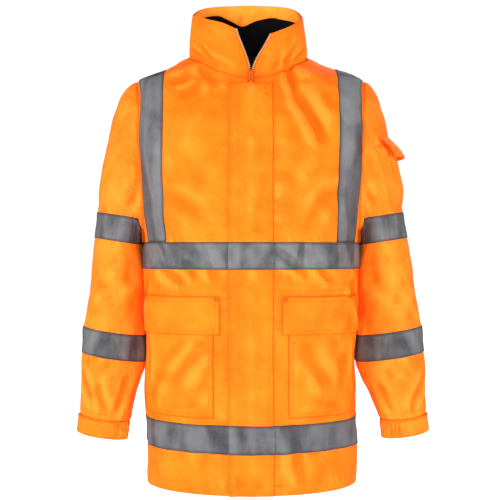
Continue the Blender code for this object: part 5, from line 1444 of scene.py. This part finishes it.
near_edge, far_edge = shoulder_line(False), shoulder_line(True)
s, v = between_edges(with_rims(0.0, 1.0, 0.085, 0.02)[None, :] * BRACE_REACH)
for side, name in SIDES:
    mesh = strip("brace_" + name, s * side, v, GAP, True).data
    facing = np.empty(3 * len(mesh.vertices), np.float32)
    mesh.vertices.foreach_get("normal", facing)
    # Painted light and shade on the braces, by the way each point faces: a highlight where the strip faces
    # forward and up, shade on the top of the shoulder and a little all over; the right brace gets less
    forward, upward = -facing[1::3], facing[2::3]
    lit = smooth((forward - 0.40) / 0.15) * (1 - smooth((forward - 0.90) / 0.08))
    lit = lit * smooth((upward - 0.1) / 0.2)
    dark = (1 - smooth((np.abs(forward - 0.18) - 0.22) / 0.12)) * smooth((upward - 0.60) / 0.15)
    light, shade = (1.0, 1.0) if side > 0 else (0.4, 0.7)
    mark_points(mesh, "painted_light_shade", lit * light - np.maximum(dark * shade, 0.10))


def band_drops(name, band, share):
    """Drops at a share of a sleeve band's width, in each column, kept clear of the armhole."""
    upper = np.maximum(drop_of(band[0]), arms[name][2][0] + 0.0040)
    return upper * (1 - share) + np.maximum(drop_of(band[1]), upper + 0.006) * share


for side, name in SIDES:
    for band, edges in (("upper_arm", UPPER_BAND), ("forearm", FOREARM_BAND)):
        drops = band_drops(name, edges, with_rims(0.0, 1.0, 0.09, 0.022)[:, None])
        columns = np.broadcast_to(np.arange(COLUMNS)[None, :], drops.shape)
        grid, out = on_sleeve(name, columns, drops)
        piece, quads = stand_off("tape_%s_%s_strip" % (band, name), grid, out, GAP, TAPE_WALL,
                                 laid(columns * COLUMN, drops), tape, side, closed=True, tuck=TAPE_TUCK)
        size = girth_of(grid[6]) * 1.02, 0.052
        declare(piece, "tape_%s_%s" % (band, name), size, area_of(grid, quads), "reflective_tape")
# Painted light and shade for each strip: the waist strips lighter, the hem strips and the sleeve bands
# darker
for name, tone in (
    ("waist", 0.10), ("flap_waist", 0.10), ("hem", -0.24), ("flap_hem", -0.24), ("upper_arm_left", -0.20),
    ("upper_arm_right", -0.20), ("forearm_left", -0.16), ("forearm_right", -0.16),
):
    mesh = bpy.data.objects["tape_%s_strip" % name].data
    mark_points(mesh, "painted_light_shade", np.full(len(mesh.vertices), tone))

# Zip: moulded cream teeth on orange tape. It is closed under the flap and stands open in a V up the collar.
# The slider is enamelled metal, and its moulded pull loop swings on the slider's bridge.
zip_tape = woven_orange("zip_tape", (0.80, 0.105, 0.003, 1), (0.95, 0.19, 0.012, 1), 0.3)
cream = grained("cream_teeth", 0.34, 0.5, 300.0, 3.0, (0.62, 0.43, 0.20), (0.86, 0.68, 0.40),
                (0.2, 0.0003), (0.28, 0.15))
ZIP_TAPE, ZIP_TAPE_WALL, ZIP_SUNK = 0.0100, 0.0010, 0.0006

z = np.linspace(HEM_Z + 0.002, neck_dense[0, 1] - 0.003, 180)
s, v = np.meshgrid(np.linspace(-1, 1, 9) * (ZIP_HALF - 0.0004), rise(z))
points, out = on_body(s, v)
stem_mid = on_body(np.zeros(len(z)), rise(z), -ZIP_SUNK)[0]
stem, quads = stand_off("zip_chain_tape", points, out, -2 * ZIP_TAPE_WALL, ZIP_TAPE_WALL, laid(s, v),
                        zip_tape)
zip_tapes, edge_lines = [(stem, float(z[-1] - z[0]) * 1.02, "laid", area_of(points, quads))], []
for column, beside, (sign, name) in ((0, 1, SIDES[0]), (-1, -2, SIDES[1])):
    edge, out = collar[:, column], collar_out[:, column]
    inwards = unit(edge - collar[:, beside])
    far = edge + inwards * (GAP + 0.0033)
    far[:, 0] = np.maximum(far[:, 0] * sign, 0.0008) * sign
    start, far = edge + inwards * GAP - out * ZIP_SUNK, far - out * ZIP_SUNK
    share = np.linspace(0, 1, 5)[None, :, None]
    grid = start[:, None] * (1 - share) + far[:, None] * share
    cloth = laid(share[..., 0] * 0.004, collar_up[:, None] * 0.09)
    wing, quads = stand_off("zip_wing_tape_" + name, grid, out[:, None], -ZIP_TAPE_WALL, ZIP_TAPE_WALL,
                            cloth, zip_tape)
    zip_tapes.append((wing, 0.092, "hung", max(area_of(grid, quads), 0.000280)))
    edge_lines.append((far, out, inwards))


def repeat_along(name, lines, pitch, size, finish, kind="stitch"):
    """Stitches or teeth at a pitch along polylines: Geometry Nodes place and turn one at each station."""
    verts, edges, ups = [], [], []
    for line, up in lines:
        start = len(verts)
        verts += [tuple(p) for p in line]
        ups += [tuple(p) for p in up]
        edges += [(start + k, start + k + 1) for k in range(len(line) - 1)]
    mesh = bpy.data.meshes.new(name)
    mesh.from_pydata(verts, edges, [])
    mark = mesh.attributes.new("up", "FLOAT_VECTOR", "POINT")
    mark.data.foreach_set("vector", np.array(ups, np.float32).ravel())
    path = add(name + "_path", mesh)

    group = bpy.data.node_groups.new(name, "GeometryNodeTree")
    for way in ("INPUT", "OUTPUT"):
        group.interface.new_socket("Geometry", in_out=way, socket_type="NodeSocketGeometry")
    tree = Value(group)
    curve = tree.node("GeometryNodeMeshToCurve", inputs={"Mesh": tree.node("NodeGroupInput")})
    spaced = tree.node("GeometryNodeResampleCurve", {"mode": "LENGTH"}, {"Curve": curve, "Length": pitch})
    way = tree.node("GeometryNodeInputTangent")
    up = tree.node("GeometryNodeInputNamedAttribute", {"data_type": "FLOAT_VECTOR"}, {"Name": "up"})
    first = tree.node("FunctionNodeAlignRotationToVector", {"axis": "X"}, {"Vector": way})
    turned = tree.node("FunctionNodeAlignRotationToVector", {"axis": "Z", "pivot_axis": "X"},
                       {"Rotation": first, "Vector": up})
    if kind == "stitch":
        shape = tree.node("GeometryNodeMeshUVSphere", inputs={"Segments": 4, "Rings": 3, "Radius": 0.5})
    else:
        shape = tree.node("GeometryNodeMeshCylinder", {"fill_type": "NGON"},
                          {"Vertices": 6, "Radius": 0.5, "Depth": 1.0})
    placed = tree.node("GeometryNodeInstanceOnPoints", inputs={
        "Points": spaced, "Instance": shape, "Rotation": turned, "Scale": size,
    })
    real = tree.node("GeometryNodeRealizeInstances", inputs={"Geometry": placed})
    dressed = tree.node("GeometryNodeSetMaterial", inputs={"Geometry": real, "Material": finish})
    group.links.new(dressed.socket, group.nodes.new("NodeGroupOutput").inputs[0])

    path.modifiers.new("along", "NODES").node_group = group
    graph = bpy.context.evaluated_depsgraph_get()
    made = bpy.data.meshes.new_from_object(path.evaluated_get(graph))
    bpy.data.objects.remove(path)
    made.materials.clear()
    made.materials.append(finish)
    return add(name, made)


stem_lines = [(stem_mid, np.tile((0.0, -1.0, 0.0), (len(stem_mid), 1)))]
wing_lines = [(line[1:] + out[1:] * 0.0003 + way[1:] * 0.0008, out[1:]) for line, out, way in edge_lines]
teeth = repeat_along("zip_teeth_closed", stem_lines, 0.0025, (0.0014, 0.0058, 0.0020), cream, "tooth")
teeth_open = repeat_along("zip_teeth_open", wing_lines, 0.0034, (0.0014, 0.0032, 0.0020), cream, "tooth")
for piece, length, held, area in zip_tapes:
    declare(piece, "zip", (ZIP_TAPE, length), area, "zip_tape")
for row in (teeth, teeth_open):
    wear(row, "zip_tape", "zip")

enamel = grained("slider_enamel", 0.5, 0.05, 420.0, 4.0, (0.42, 0.060, 0.004), (0.75, 0.135, 0.010),
                 (0.25, 0.0003), (0.45, 0.25))
# The pull's small orange glow is painted light
moulded = grained("orange_plastic", 0.5, 0.05, 500.0, 3.0, (0.62, 0.10, 0.004), (0.85, 0.18, 0.008),
                  (0.2, 0.0002), (0.45, 0.2), glow=0.04)
for name, finish in (("zip_slider", enamel), ("zip_pull", moulded)):
    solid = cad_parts[name]
    if not solid.material_slots:
        solid.data.materials.append(finish)
    for slot in solid.material_slots:
        slot.material = finish

# Sewing: lockstitch in orange thread along every edge and seam, doubled where the real one is,
# with short bartacks where the cloth is pulled.
# The orange thread is painted a dark brown-orange, a painted shade of the groove that it sinks into
shade_dark_thread = grained("shade_dark_orange_thread", 0.7, 0.05, 800.0, 2.0, (0.16, 0.018, 0.001), (0.32, 0.040, 0.002),
                 (0.3, 0.0002), (0.5, 0.2))
grey_thread = grained("grey_thread", 0.6, 0.3, 800.0, 2.0, (0.05, 0.05, 0.055), (0.10, 0.10, 0.105),
                      (0.3, 0.0002), (0.5, 0.2))

seams, tape_seams = [], []


def body_seam(s, z, near=0.0, into=seams):
    """A line of stitching on the body by girth and height, near off the cloth."""
    into.append(on_body(s, rise(z), near))


HEM_SEAM_Z = HEM_Z + 0.0190
on_flap = GAP + FLAP_WALL
down = np.linspace(HEM_Z + 0.004, FLAP_TOP_Z - 0.003, 260)
for x in (-0.0350, 0.0325, 0.0385):
    s = girth_at_x(down, abs(x)) * np.sign(x)
    body_seam(s, down, on_flap + flap_stand(s, down))
across = np.linspace(-0.037, 0.038, 30)
for z in (FLAP_TOP_Z - 0.004, HEM_Z + 0.006):
    body_seam(across, z, on_flap + flap_stand(across, z))
body_seam(np.linspace(0.045, 1.2, 400) * (2 * whole_girth(rise(HEM_SEAM_Z)) - 0.09) / 1.2, HEM_SEAM_Z)
CHANNEL_LINES = (  # the waist channel's seams, by girth and height
    ((0.0450, -0.4050), (0.0535, -0.4175), (0.0590, -0.4270)),
    ((0.0590, -0.4165), (0.0535, -0.4270)),
    ((0.0590, -0.4060), (0.1700, -0.4065), (0.2500, -0.4060), (0.6000, -0.4060), (0.8600, -0.4060),
     (0.9300, -0.4130), (1.0000, -0.4045)),
    ((0.0590, -0.4175), (0.1200, -0.4172), (0.2500, -0.4180), (0.6000, -0.4180), (0.8100, -0.4180)),
)
for line in CHANNEL_LINES:
    body_seam(*evenly(line, 0.003).T)
for inside in (0.0025, 0.0062):
    for side in (1, -1):
        points, out = on_body(side * neck_line[2:, 0], neck_line[2:, 1] - inside)
        seams.append((points[::3], out[::3]))
shoulder = side_line(point_z, ARM_TOP_Z)[6:-6:2]
for side in (1, -1):
    for line, away in ((arm_front[12:-20:2], -1), (arm_back[12:-20:2], 1)):
        for inside in (0.0030, 0.0075):
            seams.append(on_body((line[:, 0] + away * inside) * side, line[:, 1]))
    for inside in (0.0030, 0.0070):
        seams.append(on_body((shoulder[:, 0] + inside) * side, shoulder[:, 1]))
    s0, s1, low, high = POCKET
    for k in (0.0022, 0.0085):
        fall = np.linspace(POCKET_FLAP[2] - 0.001, low + k, 60)
        across = np.linspace(s0 + k, s1 - k, 60)[1:]
        path_s = np.concatenate([np.full(60, s0 + k), across, np.full(59, s1 - k)])
        path_z = np.concatenate([fall, np.full(59, low + k), fall[::-1][1:]])
        body_seam(path_s * side, path_z, GAP + PATCH_WALL + pocket_stand(side, path_s, path_z))
    s0, s1, low, high = POCKET_FLAP
    for z in (high - 0.0030, high - 0.0085):
        s = np.linspace(s0 + 0.003, s1 - 0.003, 80)
        body_seam(s * side, z, FLAP_WALL + pocket_flap_stand(side, s, z))
    k, curve = 0.0070, 0.0060
    corner = np.radians(np.linspace(180, 270, 8))
    turn_s, turn_z = curve * (1 + np.cos(corner)), low + k + curve * (1 + np.sin(corner))
    fall = np.linspace(high - 0.004, low + k + 0.007, 20)
    path_s = np.concatenate([
        np.full(20, s0 + k), s0 + k + turn_s, np.linspace(s0 + k + 0.007, s1 - k - 0.007, 80),
        s1 - k - turn_s[::-1], np.full(20, s1 - k),
    ])
    path_z = np.concatenate([fall, turn_z, np.full(80, low + k), turn_z[::-1], fall[::-1]])
    body_seam(path_s * side, path_z, FLAP_WALL + pocket_flap_stand(side, path_s, path_z))

for low, high in (WAIST_TAPE, HEM_TAPE):
    for z in (low + 0.0026, high - 0.0026):
        whole = whole_girth(rise(z))
        body_seam(np.linspace(0.0425, 2 * whole - 0.0425, 420), z, GAP + TAPE_WALL, tape_seams)
        across = np.linspace(-0.037, 0.037, 24)
        body_seam(across, z, GAP + on_flap + TAPE_WALL + flap_stand(across, z), tape_seams)
for side in (1, -1):
    for share in (0.05, 0.95):
        s, v = between_edges(share)
        tape_seams.append(on_body(s[:, 0] * side, v[:, 0], GAP + TAPE_WALL))
for side, name in SIDES:
    flip = (side, 1, 1)
    for band in (UPPER_BAND, FOREARM_BAND):
        for share in (0.055, 0.945):
            columns = np.arange(COLUMNS + 1) % COLUMNS
            points, out = on_sleeve(name, columns, band_drops(name, band, share)[columns])
            tape_seams.append(((points + out * (GAP + TAPE_WALL)) * flip, out * flip))
    grid, out = arms[name][:2]
    seams.append(((grid[-3] + out[-3] * 0.0001) * flip, out[-3] * flip))
    under = slice(CAP_ROWS // 6, None), COLUMNS // 2 + 2
    seams.append((grid[under] * flip, out[under] * flip))
    for share in (0.12, 0.88):
        line = cuff_ring(name, cuff_height(name, share), np.linspace(*TAB_DEG[name], 60))
        way = unit(line - line.mean(axis=0))
        seams.append(((line + way * 0.0042) * flip, way * flip))
    for angle in (TAB_DEG[name][1] + 3, TAB_DEG[name][1] + 9):
        levels = cuff_height(name, np.linspace(0.1, 0.9, 12))
        line = np.array([cuff_ring(name, z, [angle])[0] for z in levels])
        way = unit(line - [cuff_ring(name, z, np.arange(0, 360, 5)).mean(axis=0) for z in levels])
        seams.append(((line + way * 0.0040) * flip, way * flip))
for row in (-4, 2):
    seams.append((collar[row, 2:-2], collar_out[row, 2:-2]))
for column in (2, -3):
    seams.append((collar[2:-3, column], collar_out[2:-3, column]))
# Bartacks, short satin bars where the cloth is pulled: girth and height of both ends, and what they are on
TACKS = (
    (0.0235, -0.052, 0.0265, -0.056, "flap"), (0.0275, -0.062, 0.0275, -0.068, "flap"),
    (-0.058, -0.431, -0.065, -0.431, "pocket_flap"), (0.058, -0.431, 0.065, -0.431, "pocket_flap"),
    (-0.058, -0.4345, -0.064, -0.4345, "pocket_flap"), (0.058, -0.4345, 0.064, -0.4345, "pocket_flap"),
    (-0.235, -0.431, -0.241, -0.431, "pocket_flap"), (0.19, -0.431, 0.198, -0.431, "pocket_flap"),
    (0.234, -0.431, 0.2405, -0.431, "pocket_flap"), (0.0435, -0.764, 0.051, -0.764, "body"),
    (-0.035, -0.77, -0.035, -0.776, "flap"),
)
tacks = []
for s0, z0, s1, z1, over in TACKS:
    s, z = np.linspace(s0, s1, 8), np.linspace(z0, z1, 8)
    if over == "flap":
        near = on_flap + flap_stand(s, z)
    elif over == "pocket_flap":
        near = GAP + PATCH_WALL + on_flap + 0.0003 + pocket_stand(1 if s0 > 0 else -1, np.abs(s), z)
    else:
        near = 0.0
    body_seam(s, z, near, tacks)
for column in (20.2, 24.0, 27.4):
    points, out = on_sleeve("left", column, np.linspace(drop_of(-0.1515), drop_of(-0.1565), 8))
    tacks.append((points + out * 0.0042, out))
for column in (*PEN_CHANNELS, 28.6):
    line, way = on_sleeve("left", column, np.linspace(drop_of(-0.1530), drop_of(-0.2610), 40))
    seams.append((line + way * (PATCH_WALL + sleeve_pocket_stand(column, np.linspace(0, 1, 40))), way))
for name, lines, pitch, size, finish, slot in (
    ("bartacks", tacks, 0.0008, (0.0010, 0.0024, 0.0008), shade_dark_thread, "orange_cloth"),
    ("sewing", seams, 0.0031, (0.0025, 0.00105, 0.00060), shade_dark_thread, "orange_cloth"),
    ("tape_sewing", tape_seams, 0.0033, (0.0025, 0.0008, 0.0005), grey_thread, "reflective_tape"),
):
    wear(repeat_along(name, lines, pitch, size, finish), slot)
